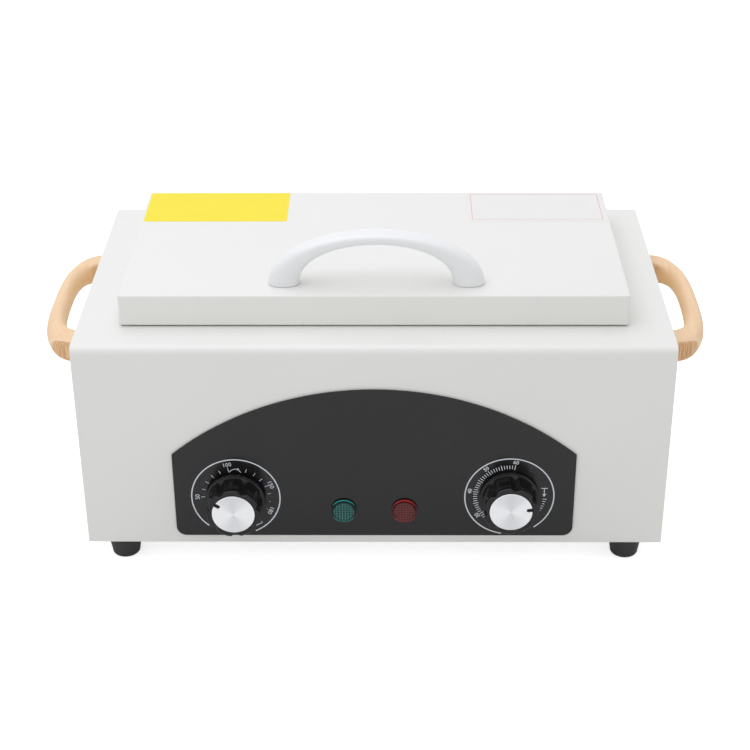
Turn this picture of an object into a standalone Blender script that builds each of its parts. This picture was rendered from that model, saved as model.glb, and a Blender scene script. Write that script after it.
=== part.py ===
"""A bench-top dry heat sterilizer, modelled piece by piece at its real size.

A folded steel cover with two end panels stands on four rubber feet. A drawn
chamber hangs in its top, over a tubular heater, and takes a perforated tray.
The lid turns on two butt hinges behind the chamber. The front carries a dark
panel with a thermostat knob, a timer knob and two lamps.

The housing's own frame has its origin under the middle of the front face:
X runs to the right, Y to the rear and Z up. Lengths are in metres.
"""

import math

import bmesh
import bpy
from mathutils import Vector

# Fits and cuts
seat_gap = 0.0003
cut_overrun = 0.004

# Cover, end panels and base plate
body_width = 0.350
body_depth = 0.200
body_height = 0.135
sheet = 0.001
fold_radius = 0.007
fold_steps = 4
rear_fold_radius = 0.0014
rear_fold_steps = 2
return_flange = 0.026
end_flange = 0.012
vents_in_row = 7
vent_length = 0.032
vent_width = 0.005
vent_pitch = 0.030
vent_row_spacing = 0.060

# Feet
foot_height = 0.016
foot_radius = 0.0107
foot_inset_x = 0.020
foot_inset_y = 0.0145
foot_stem_radius = 0.0035
foot_barb_radius = 0.0052
foot_barb_height = 0.0045
foot_sides = 14
foot_profile_shares = ((0.97, 0.0), (1.0, 0.06), (0.81, 0.86), (0.77, 0.95), (0.66, 1.0))

# Chamber and its jacket
chamber_side_inset = 0.0155
chamber_end_inset = 0.01315
chamber_corner = 0.010
chamber_opening_clearance = 0.001
corner_steps = 4
rim_width = 0.008
jacket_wall = 0.0135
jacket_floor = 0.012

# Heater under the chamber
heater_radius = 0.00325
heater_runs = 4
heater_edge_inset = 0.019
heater_left_inset = 0.039
heater_right_inset = 0.029
heater_tail_inset = 0.019
heater_bend_steps = 6
bracket_width = 0.012
bracket_overhang = 0.013
bracket_lug = 0.006
bracket_left_inset = 0.062
bracket_right_inset = 0.092
bead_radius = 0.0048
bead_length = 0.007
stud_radius = 0.0015
stud_length = 0.006

# Instrument tray
tray_side_clearance = 0.010
tray_end_clearance = 0.008
tray_height = 0.022
tray_corner = 0.008
tray_lip = 0.004
tray_hole_radius = 0.0038
tray_hole_side_inset = 0.020
tray_hole_end_inset = 0.017
tray_holes_along = 9
tray_holes_across = 4
tray_hole_sides = 6

# Lid
lid_side_margin = 0.0255
lid_front = 0.027
lid_rear_margin = 0.0187
lid_height = 0.0189
lid_shadow_gap = 0.001
lid_edge_radius = 0.0008
lid_least_corner_share = 0.25
liner_wall_height = 0.011
plug_clearance = 0.004
plug_depth = 0.004
lid_wool_clearance = 0.002
lid_wool_height = 0.012

# Lid handle
lid_handle_setback = 0.018
lid_handle_offset = 0.0015
lid_handle_half_span = 0.064
lid_handle_rise = 0.033
lid_handle_grip_half_span = 0.0463
lid_handle_grip_rise = 0.0258
lid_handle_half_width = 0.007
lid_handle_power = 2.0
lid_handle_section_power = 2.8
lid_handle_stations = 21

# Wooden end handles
grip_half_span = 0.0625
grip_reach = 0.029
grip_outer_power = 2.75
grip_finger_half_span = 0.0463
grip_finger_reach = 0.0197
grip_finger_power = 3.2
grip_height = 0.0164
grip_section_power = 3.2
grip_drop = 0.0155
grip_setback = 0.0014
grip_stations = 23
arch_sides = 12

# Screws
screw_radius = 0.002
screw_head_radius = 0.0037
screw_head_height = 0.0022
screw_crown_share = 0.7
screw_reach = 0.012
screw_sides = 10

# Hinges
hinge_width = 0.040
hinge_inset = 0.0545
hinge_barrel_radius = 0.003
hinge_pin_radius = 0.0012
hinge_middle_share = 0.385
hinge_leaf_reach = 0.009
hinge_lid_leaf_reach = 0.012
hinge_leaf_thickness = 0.001
hinge_sides = 16
pin_head_radius = 0.0019
pin_head_height = 0.0006

# Front panel
panel_side_margin = 0.0547
panel_bottom = 0.0063
panel_top_margin = 0.020
panel_crown_rise = 0.0443
panel_thickness = 0.001
panel_corner = 0.006
panel_arc_steps = 24

# Dials and knobs
temperature_dial_inset = 0.037
temperature_dial_z = 0.0341
temperature_knob_lift = 0.0025
timer_dial_inset = 0.039
timer_dial_z = 0.0347
timer_knob_lift = 0.0005
knob_length = 0.0166
knob_skirt_radius = 0.0178
knob_lobes = 7
knob_flute_depth = 0.0019
knob_well_radius = 0.0125
knob_well_depth = 0.010
knob_hub_radius = 0.0055
knob_hub_setback = 0.0033
knob_bore_depth = 0.0123
knob_bore_sides = 16
knob_profile_shares = (
    (0.985, 0.0, 0.0),
    (1.0, 0.0, 0.025),
    (1.0, 0.0, 0.10),
    (0.97, 0.0, 0.125),
    (0.91, 0.9, 0.16),
    (0.91, 1.0, 0.94),
    (0.895, 1.0, 0.98),
    (0.865, 0.9, 1.0),
)
knob_flute_shares = ((0.0, 1.0), (0.09, 0.72), (0.18, 0.18), (0.26, 0.0), (0.5, 0.0))
knob_lobe_lead = -3.0
cap_radius = 0.01275
cap_seat_depth = 0.0011
cap_thickness = 0.0014
cap_chamfer = 0.0004
cap_notch_width = 0.0018
cap_notch_length = 0.0033
cap_sides = 30
temperature_notch_angle = 147.5
timer_notch_angle = 7.0

# Controls behind the panel
shaft_radius = 0.003
shaft_flat_share = 0.8
shaft_depth = 0.016
bushing_radius = 0.005
bushing_reach = 0.0032
nut_radius = 0.0078
nut_thickness = 0.0024
thermostat_size = 0.034
thermostat_depth = 0.022
thermostat_corner = 0.003
thermostat_cup_radius = 0.013
thermostat_cup_depth = 0.005
timer_size = 0.040
timer_case_size = 0.034
timer_plate = 0.0015
timer_case_depth = 0.020
timer_corner = 0.002
timer_post_radius = 0.0025
timer_post_length = 0.0095
control_headroom = 0.0022
bell_radius = 0.019
bell_wall = 0.001
bell_draw_share = 0.33
bell_steps = 3
control_sides = 16

# Thermostat bulb and capillary
bulb_radius = 0.0025
bulb_start_gap = 0.014
bulb_end_gap = 0.022
capillary_radius = 0.001
capillary_slack = 0.010
capillary_hole_radius = 0.003
capillary_hole_gap = 0.018

# Lamps
lamp_spacing = 0.0366
lamp_height = 0.0248
lamp_radius = 0.008
lamp_face = 0.0028
lamp_body_radius = 0.0062
lamp_body_length = 0.022
lamp_collar_radius = 0.0082
lamp_collar_length = 0.003
lamp_tail_share = 0.8
lamp_sides = 24
hole_sides = 16
lens_profile_shares = (
    (1.0, 0.0),
    (1.0, 0.32),
    (0.95, 0.42),
    (0.88, 0.45),
    (0.84, 0.86),
    (0.60, 1.0),
)

# Mains inlet
inlet_inset = 0.063
inlet_height = 0.036
inlet_flange_width = 0.031
inlet_flange_height = 0.025
inlet_flange = 0.002
inlet_body_width = 0.0274
inlet_body_height = 0.0200
inlet_body_depth = 0.020
inlet_socket_width = 0.0246
inlet_socket_height = 0.0168
inlet_socket_depth = 0.0155
inlet_corner = 0.002
inlet_socket_corner = 0.004
inlet_pin_spacing = 0.007
inlet_pin_stagger = 0.002
inlet_pin_width = 0.002
inlet_pin_height = 0.004
inlet_pin_setback = 0.002
inlet_tab_length = 0.008

# Places and sizes that follow from those above
panel_face = -(seat_gap + panel_thickness)
panel_half_width = body_width / 2 - panel_side_margin
panel_crown = body_height - fold_radius - panel_top_margin
temperature_dial_x = temperature_dial_inset - panel_half_width
timer_dial_x = panel_half_width - timer_dial_inset
knob_front = temperature_knob_lift + knob_length + cap_thickness - cap_seat_depth - panel_face
front_y = (knob_front - body_depth - seat_gap - inlet_flange) / 2
lid_length = body_width - 2 * lid_side_margin
lid_rear = body_depth - lid_rear_margin
lid_depth = lid_rear - lid_front
chamber_y = lid_front + lid_depth / 2
chamber_length = lid_length - 2 * chamber_side_inset
chamber_breadth = lid_depth - 2 * chamber_end_inset
rim_bottom = body_height + seat_gap
rim_top = rim_bottom + sheet
jacket_bottom = timer_dial_z + timer_size / 2 + control_headroom
jacket_inner_floor = jacket_bottom + jacket_floor
bracket_top = jacket_inner_floor + seat_gap + sheet
heater_z = bracket_top + seat_gap + heater_radius
floor_bottom = heater_z + heater_radius + seat_gap
floor_top = floor_bottom + sheet
heater_pitch = (chamber_breadth - 2 * heater_edge_inset) / (heater_runs - 1)
bracket_left_x = bracket_left_inset - chamber_length / 2
bracket_right_x = chamber_length / 2 - bracket_right_inset
bulb_start = bracket_left_x + bulb_start_gap
bulb_end = bracket_right_x - bulb_end_gap
capillary_hole_x = bracket_left_x - capillary_hole_gap
tray_length = chamber_length - 2 * tray_side_clearance
tray_breadth = chamber_breadth - 2 * tray_end_clearance
lid_bottom = body_height + lid_shadow_gap
lid_top = lid_bottom + lid_height
liner_bottom = rim_top + seat_gap
hinge_place = lid_length / 2 - hinge_inset
hinge_y = lid_rear + seat_gap + hinge_barrel_radius
hinge_z = body_height + seat_gap + hinge_barrel_radius
lid_handle_y = lid_front + lid_handle_setback
lid_handle_foot = (lid_handle_half_span + lid_handle_grip_half_span) / 2
grip_foot = (grip_half_span + grip_finger_half_span) / 2
grip_middle = body_depth / 2 + grip_setback
grip_z = body_height - grip_drop - grip_height / 2
inlet_x = body_width / 2 - inlet_inset


def clear_scene():
    for old in list(bpy.data.objects):
        bpy.data.objects.remove(old)


def finish(name, colour, roughness, metallic=0.0, alpha=1.0):
    """The Principled material of that name, made when it is first asked for."""
    found = bpy.data.materials.get(name)
    if found:
        return found
    made = bpy.data.materials.new(name)
    made.use_nodes = True
    shader = made.node_tree.nodes["Principled BSDF"]
    shader.inputs["Base Color"].default_value = (*colour, 1.0)
    shader.inputs["Roughness"].default_value = roughness
    shader.inputs["Metallic"].default_value = metallic
    shader.inputs["Alpha"].default_value = alpha
    made.diffuse_color = (*colour, alpha)
    return made


def white_paint():
    return finish("white_powder_coat", (0.83, 0.83, 0.81), 0.42)


def stainless():
    return finish("stainless_steel", (0.62, 0.62, 0.61), 0.28, 1.0)


def plated_steel():
    return finish("plated_steel", (0.55, 0.55, 0.53), 0.35, 1.0)


def galvanised():
    return finish("galvanised_steel", (0.48, 0.50, 0.51), 0.5, 1.0)


def mineral_wool():
    return finish("mineral_wool", (0.62, 0.58, 0.42), 0.95)


def black_plastic():
    return finish("black_plastic", (0.012, 0.012, 0.013), 0.16)


def panel_black():
    return finish("panel_black", (0.040, 0.040, 0.041), 0.5)


def black_rubber():
    return finish("black_rubber", (0.022, 0.022, 0.023), 0.7)


def beech():
    return finish("beech", (0.83, 0.57, 0.33), 0.45)


def spun_aluminium():
    return finish("spun_aluminium", (0.82, 0.82, 0.83), 0.25, 1.0)


def brass():
    return finish("brass", (0.70, 0.52, 0.24), 0.35, 1.0)


def ceramic():
    return finish("ceramic", (0.80, 0.76, 0.68), 0.6)


def heater_steel():
    return finish("heater_steel", (0.16, 0.15, 0.14), 0.45, 1.0)


def grey_plastic():
    return finish("grey_plastic", (0.30, 0.30, 0.30), 0.5)


def copper():
    return finish("copper", (0.75, 0.38, 0.22), 0.35, 1.0)


def green_lens():
    return finish("green_lens", (0.005, 0.16, 0.10), 0.15, alpha=0.9)


def red_lens():
    return finish("red_lens", (0.22, 0.012, 0.016), 0.15, alpha=0.9)


def axis_empty(name, parent, location, turn=(0, 0, 0)):
    """An empty on a joint's axis, or at the frame that a group of pieces shares."""
    empty = bpy.data.objects.new(name, None)
    bpy.context.scene.collection.objects.link(empty)
    empty.parent = parent
    empty.location = location
    empty.rotation_euler = turn
    return empty


def arc(centre, radius, start, end, steps):
    """Points on a circle from one angle to another, in degrees."""
    angles = [math.radians(start + (end - start) * i / steps) for i in range(steps + 1)]
    return [(centre[0] + radius * math.cos(a), centre[1] + radius * math.sin(a)) for a in angles]


def circle(centre, radius, sides):
    return arc(centre, radius, 0, 360, sides)[:-1]


def rounded_rectangle(centre, width, height, corner, steps=corner_steps):
    """The outline of a rectangle with round corners, from the right, counterclockwise."""
    across, up = width / 2 - corner, height / 2 - corner
    quarters = ((across, up, 0), (-across, up, 90), (-across, -up, 180), (across, -up, 270))
    points = []
    for x, y, start in quarters:
        points += arc((centre[0] + x, centre[1] + y), corner, start, start + 90, steps)
    return points


def loft(rings, looped=False):
    """Bridges rings with equal numbers of points; the ends are closed, or meet each other in a loop."""
    mesh = bmesh.new()
    rows = [[mesh.verts.new(point) for point in ring] for ring in rings]
    pairs = list(zip(rows, rows[1:]))
    if looped:
        pairs.append((rows[-1], rows[0]))
    for near, far in pairs:
        for i in range(len(near)):
            mesh.faces.new((near[i - 1], near[i], far[i], far[i - 1]))
    if not looped:
        mesh.faces.new(rows[0])
        mesh.faces.new(rows[-1])
    bmesh.ops.recalc_face_normals(mesh, faces=mesh.faces)
    return mesh


def prism(axis, outline, start, end):
    """An outline drawn across one axis, run from start to end along it."""
    place = {
        "x": lambda u, v, w: (w, u, v),
        "y": lambda u, v, w: (u, w, v),
        "z": lambda u, v, w: (u, v, w),
    }[axis]
    return loft([[place(u, v, w) for u, v in outline] for w in (start, end)])


def box(low, high):
    outline = [(low[0], low[1]), (high[0], low[1]), (high[0], high[1]), (low[0], high[1])]
    return prism("z", outline, low[2], high[2])


def centred_box(centre, size):
    low = [middle - side / 2 for middle, side in zip(centre, size)]
    high = [middle + side / 2 for middle, side in zip(centre, size)]
    return box(low, high)


def rod(axis, centre, radius, start, end, sides):
    return prism(axis, circle(centre, radius, sides), start, end)


def turned(profile, sides, looped=False):
    """A profile of (radius, height) points turned round Z."""
    rings = [[(*point, height) for point in circle((0, 0), radius, sides)] for radius, height in profile]
    return loft(rings, looped)


def together(meshes):
    """Several separate shapes as one mesh, such as a row of cutters."""
    whole = bmesh.new()
    for mesh in meshes:
        part = bpy.data.meshes.new("part")
        mesh.to_mesh(part)
        mesh.free()
        whole.from_mesh(part)
        bpy.data.meshes.remove(part)
    return whole


def helper_object(mesh):
    data = bpy.data.meshes.new("helper")
    mesh.to_mesh(data)
    mesh.free()
    helper = bpy.data.objects.new("helper", data)
    bpy.context.scene.collection.objects.link(helper)
    return helper


def combine(base, tool, operation):
    """The base mesh joined with the tool, or cut by it."""
    first, second = helper_object(base), helper_object(tool)
    boolean = first.modifiers.new(operation.lower(), "BOOLEAN")
    boolean.operation = operation
    boolean.solver = "EXACT"
    boolean.object = second
    bpy.context.view_layer.update()
    evaluated = first.evaluated_get(bpy.context.evaluated_depsgraph_get())
    result = bmesh.new()
    result.from_mesh(evaluated.to_mesh())
    evaluated.to_mesh_clear()
    for helper in (first, second):
        data = helper.data
        bpy.data.objects.remove(helper)
        bpy.data.meshes.remove(data)
    return result


def cut(base, *tools):
    return combine(base, together(tools), "DIFFERENCE")


def join(base, *tools):
    for tool in tools:
        base = combine(base, tool, "UNION")
    return base


def data_of(name, mesh, material, smooth_angle=40):
    """Turns a bmesh into object data, shaded smooth except over sharp edges."""
    data = bpy.data.meshes.new(name)
    mesh.to_mesh(data)
    mesh.free()
    data.materials.append(material)
    data.shade_smooth()
    data.set_sharp_from_angle(angle=math.radians(smooth_angle))
    return data


def place(name, data, parent, location=(0, 0, 0), turn=(0, 0, 0)):
    """A named piece of the sterilizer, at its place under its parent."""
    piece = bpy.data.objects.new(name, data)
    bpy.context.scene.collection.objects.link(piece)
    piece.parent = parent
    piece.location = location
    piece.rotation_euler = turn
    return piece


def tube(name, points, radius, material, parent, location=(0, 0, 0), resolution=2):
    """A round bar or pipe along a list of points, with closed ends."""
    curve = bpy.data.curves.new(name, "CURVE")
    curve.dimensions = "3D"
    curve.bevel_depth = radius
    curve.bevel_resolution = resolution
    curve.use_fill_caps = True
    spline = curve.splines.new("POLY")
    spline.points.add(len(points) - 1)
    for spot, point in zip(spline.points, points):
        spot.co = (*point, 1)
    curve.materials.append(material)
    return place(name, curve, parent, location)


def smooth_route(points, steps):
    """A smooth curve through the given points, as a list of points."""
    ends = [points[0]] + list(points) + [points[-1]]
    route = []
    for a, b, c, d in zip(ends, ends[1:], ends[2:], ends[3:]):
        for i in range(steps):
            t = i / steps
            route.append([(2 * q + (r - p) * t + (2 * p - 5 * q + 4 * r - s) * t**2
                           + (3 * q - p - 3 * r + s) * t**3) / 2 for p, q, r, s in zip(a, b, c, d)])
    return route + [list(points[-1])]


# Housing: cover, end panels, base plate and feet


def cover_profile():
    """The folded sheet seen from the side: front, top and rear, each wall with a lip under it."""
    lip, far = return_flange, body_depth
    front = (fold_radius, body_height - fold_radius)
    rear = (far - rear_fold_radius, body_height - rear_fold_radius)
    outside = [(lip, 0), (0, 0)] + arc(front, fold_radius, 180, 90, fold_steps)
    outside += arc(rear, rear_fold_radius, 90, 0, rear_fold_steps) + [(far, 0), (far - lip, 0)]
    inside = [(far - lip, sheet), (far - sheet, sheet)]
    inside += arc(rear, rear_fold_radius - sheet, 0, 90, rear_fold_steps)
    inside += arc(front, fold_radius - sheet, 90, 180, fold_steps) + [(sheet, sheet), (lip, sheet)]
    return outside + inside


def chamber_outline(margin):
    """The chamber's plan, grown by a margin all round."""
    length, breadth = chamber_length + 2 * margin, chamber_breadth + 2 * margin
    return rounded_rectangle((0, chamber_y), length, breadth, chamber_corner + margin)


def inlet_outline(width, height, corner):
    return rounded_rectangle((inlet_x, inlet_height), width, height, corner)


def foot_places():
    across = body_width / 2 - foot_inset_x
    rows = {"front": foot_inset_y, "rear": body_depth - foot_inset_y}
    return {f"{row}_{side}": (sign * across, y) for row, y in rows.items()
            for side, sign in (("left", -1), ("right", 1))}


def stem_holes(start, end):
    radius = foot_stem_radius + seat_gap
    return [rod("z", spot, radius, start, end, foot_sides) for spot in foot_places().values()]


def front_holes(start, end):
    """Round holes through the front for the two bushings and the two lamps."""
    dials = ((temperature_dial_x, temperature_dial_z), (timer_dial_x, timer_dial_z))
    holes = [(spot, bushing_radius + seat_gap) for spot in dials]
    holes += [((side * lamp_spacing / 2, lamp_height), lamp_body_radius + seat_gap) for side in (-1, 1)]
    return [rod("y", centre, radius, start, end, hole_sides) for centre, radius in holes]


def outer_cover(housing):
    mesh = prism("x", cover_profile(), -body_width / 2, body_width / 2)
    top_cut = prism("z", chamber_outline(sheet + chamber_opening_clearance),
                    body_height - sheet - cut_overrun, body_height + cut_overrun)
    body = inlet_outline(inlet_body_width + 2 * seat_gap, inlet_body_height + 2 * seat_gap, inlet_corner)
    rear_cut = prism("y", body, body_depth - sheet - cut_overrun, body_depth + cut_overrun)
    mesh = cut(mesh, top_cut, rear_cut, *front_holes(-cut_overrun, sheet + cut_overrun),
               *stem_holes(-cut_overrun, sheet + cut_overrun))
    place("outer_cover", data_of("outer_cover", mesh, white_paint(), 25), housing)


def end_outline(inset, bottom):
    """An end panel's outline inside the folded cover, drawn in by an inset."""
    low = sheet + seat_gap + inset
    high, top = body_depth - low, body_height - low
    corner = fold_radius - low
    front = arc((low + corner, top - corner), corner, 180, 90, fold_steps)
    return [(low, bottom)] + front + [(high, top), (high, bottom)]


def side_panel(name, side, housing):
    """A shallow pressed pan that closes one end of the cover, its flanges turned inwards."""
    outer, inner = side * body_width / 2, side * (body_width / 2 - end_flange)
    mesh = prism("x", end_outline(0, sheet + seat_gap), inner, outer)
    hollow = prism("x", end_outline(sheet, -cut_overrun), inner - side * cut_overrun, outer - side * sheet)
    holes = [rod("x", (grip_middle + way * grip_foot, grip_z), screw_radius + seat_gap,
                 outer - side * cut_overrun, outer + side * cut_overrun, screw_sides) for way in (-1, 1)]
    mesh = cut(cut(mesh, hollow), *holes)
    place(name, data_of(name, mesh, white_paint(), 25), housing)


def base_plate(housing):
    half, low, front = body_width / 2 - sheet - seat_gap, sheet + seat_gap, 2 * (sheet + seat_gap)
    mesh = box((-half, front, low), (half, body_depth - front, low + sheet))
    start, end = -cut_overrun, low + sheet + cut_overrun
    first = -(vents_in_row - 1) / 2
    middle, vent = (start + end) / 2, (vent_width, vent_length, end - start)
    rows = [body_depth / 2 + side * vent_row_spacing / 2 for side in (-1, 1)]
    places = [((first + i) * vent_pitch, y, middle) for i in range(vents_in_row) for y in rows]
    vents = [centred_box(place_of_vent, vent) for place_of_vent in places]
    mesh = cut(mesh, *vents, *stem_holes(start, end))
    place("base_plate", data_of("base_plate", mesh, galvanised()), housing)


def feet(housing):
    """Moulded rubber feet, each held by its own barbed stem through the lip and the base plate."""
    depth = foot_height - seat_gap
    above = 2 * sheet + 3 * seat_gap
    stem = [(foot_stem_radius * foot_profile_shares[-1][0], above + foot_barb_height),
            (foot_barb_radius, above), (foot_stem_radius, above), (foot_stem_radius, 0)]
    skirt = [(foot_radius * wide, -depth * down) for wide, down in foot_profile_shares]
    data = data_of("foot", turned(stem + skirt, foot_sides), black_rubber())
    for spot, (x, y) in foot_places().items():
        place(f"foot_{spot}", data, housing, (x, y, -seat_gap))


# Chamber, jacket, heater and tray


def inner_chamber(housing):
    """A drawn stainless pan that hangs by its rim in the top of the cover."""
    mesh = prism("z", chamber_outline(sheet), floor_bottom, rim_top)
    rim = prism("z", chamber_outline(sheet + rim_width), rim_bottom, rim_top)
    mesh = cut(join(mesh, rim), prism("z", chamber_outline(0), floor_top, rim_top + cut_overrun))
    place("inner_chamber", data_of("inner_chamber", mesh, stainless()), housing)


def heater_rows():
    first = chamber_y - heater_pitch * (heater_runs - 1) / 2
    return [first + heater_pitch * i for i in range(heater_runs)]


def chamber_insulation(housing):
    outer = chamber_outline(sheet + seat_gap + jacket_wall)
    mesh = prism("z", outer, jacket_bottom, body_height - sheet - seat_gap)
    hollow = prism("z", chamber_outline(sheet + seat_gap), jacket_inner_floor, body_height + cut_overrun)
    tails = [rod("x", (y, heater_z), heater_radius + seat_gap, chamber_length / 2 - cut_overrun,
                 body_width / 2, screw_sides) for y in (heater_rows()[0], heater_rows()[-1])]
    lead = rod("z", (capillary_hole_x, chamber_y), capillary_hole_radius,
               jacket_bottom - cut_overrun, jacket_inner_floor + cut_overrun, screw_sides)
    mesh = cut(cut(mesh, hollow), *tails, lead)
    place("chamber_insulation", data_of("chamber_insulation", mesh, mineral_wool()), housing)


def heater_tail():
    return body_width / 2 - heater_tail_inset


def heater_path():
    """The serpentine's centre line: straight runs along X with a half turn between each two."""
    rows = heater_rows()
    bend = heater_pitch / 2
    left, right = heater_left_inset - chamber_length / 2, chamber_length / 2 - heater_right_inset
    points = [(heater_tail(), rows[0], heater_z)]
    for i in range(heater_runs - 1):
        leftwards = i % 2 == 0
        x = left if leftwards else right
        start, end = (270, 90) if leftwards else (-90, 90)
        points += [(u, v, heater_z) for u, v in arc((x, rows[i] + bend), bend, start, end, heater_bend_steps)]
    return points + [(heater_tail(), rows[-1], heater_z)]


def heating_element(housing):
    tube("heating_element", heater_path(), heater_radius, heater_steel(), housing)
    profile = [(bead_radius, 0), (bead_radius, bead_length), (stud_radius, bead_length),
               (stud_radius, bead_length + stud_length)]
    data = data_of("heater_terminal", turned(profile, screw_sides), ceramic())
    for name, y in (("front", heater_rows()[0]), ("rear", heater_rows()[-1])):
        place(f"heater_terminal_{name}", data, housing, (heater_tail() + seat_gap, y, heater_z),
              (0, math.radians(90), 0))


def heater_brackets(housing):
    """Two hat-shaped straps, spot-welded by their lugs to the chamber's floor, that carry the heater."""
    half, top = heater_pitch * (heater_runs - 1) / 2 + bracket_overhang, floor_bottom - seat_gap
    low, high = bracket_top - sheet, bracket_top
    lugs = half + bracket_lug
    right = [(half, low), (half, top - sheet), (lugs, top - sheet), (lugs, top), (half - sheet, top),
             (half - sheet, high)]
    outline = right + [(-y, z) for y, z in reversed(right)]
    data = data_of("heater_bracket", prism("x", outline, -bracket_width / 2, bracket_width / 2), galvanised())
    for name, x in (("left", bracket_left_x), ("right", bracket_right_x)):
        place(f"heater_bracket_{name}", data, housing, (x, chamber_y, 0))


def tray_outline(margin):
    return rounded_rectangle((0, 0), tray_length + 2 * margin, tray_breadth + 2 * margin, tray_corner + margin)


def instrument_tray(housing):
    """A perforated stainless tray, free to lift out of the chamber."""
    lift = axis_empty("tray_lift", housing, (0, chamber_y, floor_top + seat_gap))
    mesh = prism("z", tray_outline(0), 0, tray_height)
    lip = prism("z", tray_outline(tray_lip), tray_height - sheet, tray_height)
    mesh = cut(join(mesh, lip), prism("z", tray_outline(-sheet), sheet, tray_height + cut_overrun))
    along = (tray_length - 2 * tray_hole_side_inset) / (tray_holes_along - 1)
    across = (tray_breadth - 2 * tray_hole_end_inset) / (tray_holes_across - 1)
    holes = []
    for row in range(tray_holes_across):
        count = tray_holes_along - row % 2
        for i in range(count):
            spot = ((i - (count - 1) / 2) * along, (row - (tray_holes_across - 1) / 2) * across)
            holes.append(rod("z", spot, tray_hole_radius, -cut_overrun, sheet + cut_overrun, tray_hole_sides))
    place("instrument_tray", data_of("instrument_tray", cut(mesh, *holes), stainless()), lift)


# Lid, with its liner, wool, handle and hinges


def lid_plan(inset, corner):
    return rounded_rectangle((0, chamber_y), lid_length - 2 * inset, lid_depth - 2 * inset, corner, 2)


def lid_ring(inset, height):
    corner = max(lid_edge_radius - inset, lid_edge_radius * lid_least_corner_share)
    return [(x, y, height) for x, y in lid_plan(inset, corner)]


def lid_screw_places():
    return [(lid_handle_offset + side * lid_handle_foot, lid_handle_y) for side in (-1, 1)]


def lid_shell(lid, offset):
    rings = [lid_ring(0, lid_bottom), lid_ring(0, lid_top - lid_edge_radius)]
    rings += [lid_ring(lid_edge_radius - u, lid_top - lid_edge_radius + v)
              for u, v in arc((0, 0), lid_edge_radius, 45, 90, 1)]
    hollow = prism("z", lid_plan(sheet, lid_edge_radius), lid_bottom - cut_overrun, lid_top - sheet)
    start, end = lid_top - cut_overrun, lid_top + cut_overrun
    holes = [rod("z", spot, screw_radius + seat_gap, start, end, screw_sides) for spot in lid_screw_places()]
    mesh = cut(cut(loft(rings), hollow), *holes)
    place("lid_shell", data_of("lid_shell", mesh, white_paint(), 50), lid, offset)


def plug_outline(inset):
    margin = -plug_clearance - inset
    length, breadth = chamber_length + 2 * margin, chamber_breadth + 2 * margin
    return rounded_rectangle((0, chamber_y), length, breadth, chamber_corner + margin)


def lid_liner(lid, offset):
    """The lid's inner pan: it rests on the chamber's rim, with a shallow plug that drops into the mouth."""
    inset, plug_bottom = sheet + seat_gap, rim_top - plug_depth
    mesh = prism("z", lid_plan(inset, lid_edge_radius), liner_bottom, liner_bottom + liner_wall_height)
    plug = prism("z", plug_outline(0), plug_bottom, liner_bottom + sheet)
    hollow = prism("z", lid_plan(inset + sheet, lid_edge_radius), liner_bottom + sheet,
                   liner_bottom + liner_wall_height + cut_overrun)
    dish = prism("z", plug_outline(sheet), plug_bottom + sheet, liner_bottom + sheet + cut_overrun)
    mesh = cut(cut(join(mesh, plug), hollow), dish)
    place("lid_liner", data_of("lid_liner", mesh, stainless()), lid, offset)


def lid_insulation(lid, offset):
    bottom = liner_bottom + sheet + seat_gap
    outline = lid_plan(2 * sheet + seat_gap + lid_wool_clearance, lid_edge_radius)
    mesh = prism("z", outline, bottom, bottom + lid_wool_height)
    place("lid_insulation", data_of("lid_insulation", mesh, mineral_wool()), lid, offset)


def signed_power(value, power):
    return math.copysign(abs(value) ** power, value)


def bow(half_span, rise, power, count):
    """Evenly spaced points on half a superellipse that stands on X, from right to left."""
    fine = [math.pi * i / (20 * count) for i in range(20 * count + 1)]
    root = 2 / power
    points = [Vector((half_span * signed_power(math.cos(a), root), rise * abs(math.sin(a)) ** root))
              for a in fine]
    points[-1].y = 0
    travelled = [0]
    for here, after in zip(points, points[1:]):
        travelled.append(travelled[-1] + (after - here).length)
    chosen, index = [], 0
    for i in range(count):
        target = travelled[-1] * i / (count - 1)
        while index < len(points) - 2 and travelled[index + 1] < target:
            index += 1
        along = (target - travelled[index]) / (travelled[index + 1] - travelled[index])
        chosen.append(points[index].lerp(points[index + 1], min(along, 1)))
    return chosen


def arch(outer, inner, half_height, power):
    """A bowed bar between an outer and an inner curve, its section a rounded rectangle."""
    rings = []
    for out, near in zip(outer, inner):
        ring = []
        for i in range(arch_sides):
            angle = 2 * math.pi * (i + 0.5) / arch_sides
            share = 0.5 + 0.5 * signed_power(math.cos(angle), 2 / power)
            across = half_height * signed_power(math.sin(angle), 2 / power)
            ring.append((*near.lerp(out, share), across))
        rings.append(ring)
    return loft(rings)


def lid_handle(lid, offset):
    outer = bow(lid_handle_half_span, lid_handle_rise, lid_handle_power, lid_handle_stations)
    inner = bow(lid_handle_grip_half_span, lid_handle_grip_rise, lid_handle_power, lid_handle_stations)
    mesh = arch(outer, inner, lid_handle_half_width, lid_handle_section_power)
    bores = [rod("y", (side * lid_handle_foot, 0), screw_radius + seat_gap, -cut_overrun,
                 screw_reach + 2 * seat_gap, screw_sides) for side in (-1, 1)]
    data = data_of("lid_handle", cut(mesh, *bores), finish("white_plastic", (0.86, 0.86, 0.85), 0.3), 60)
    spot = Vector(offset) + Vector((lid_handle_offset, lid_handle_y, lid_top + seat_gap))
    place("lid_handle", data, lid, spot, (math.radians(90), 0, 0))


def screw_data():
    """A pan-head screw that points up Z, its head under the origin."""
    wide, tall = screw_head_radius, screw_head_height
    profile = [(wide * screw_crown_share, -tall), (wide, -tall / 2), (wide, 0), (screw_radius, 0),
               (screw_radius, sheet + 2 * seat_gap + screw_reach)]
    return data_of("screw", turned(profile, screw_sides), plated_steel())


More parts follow.
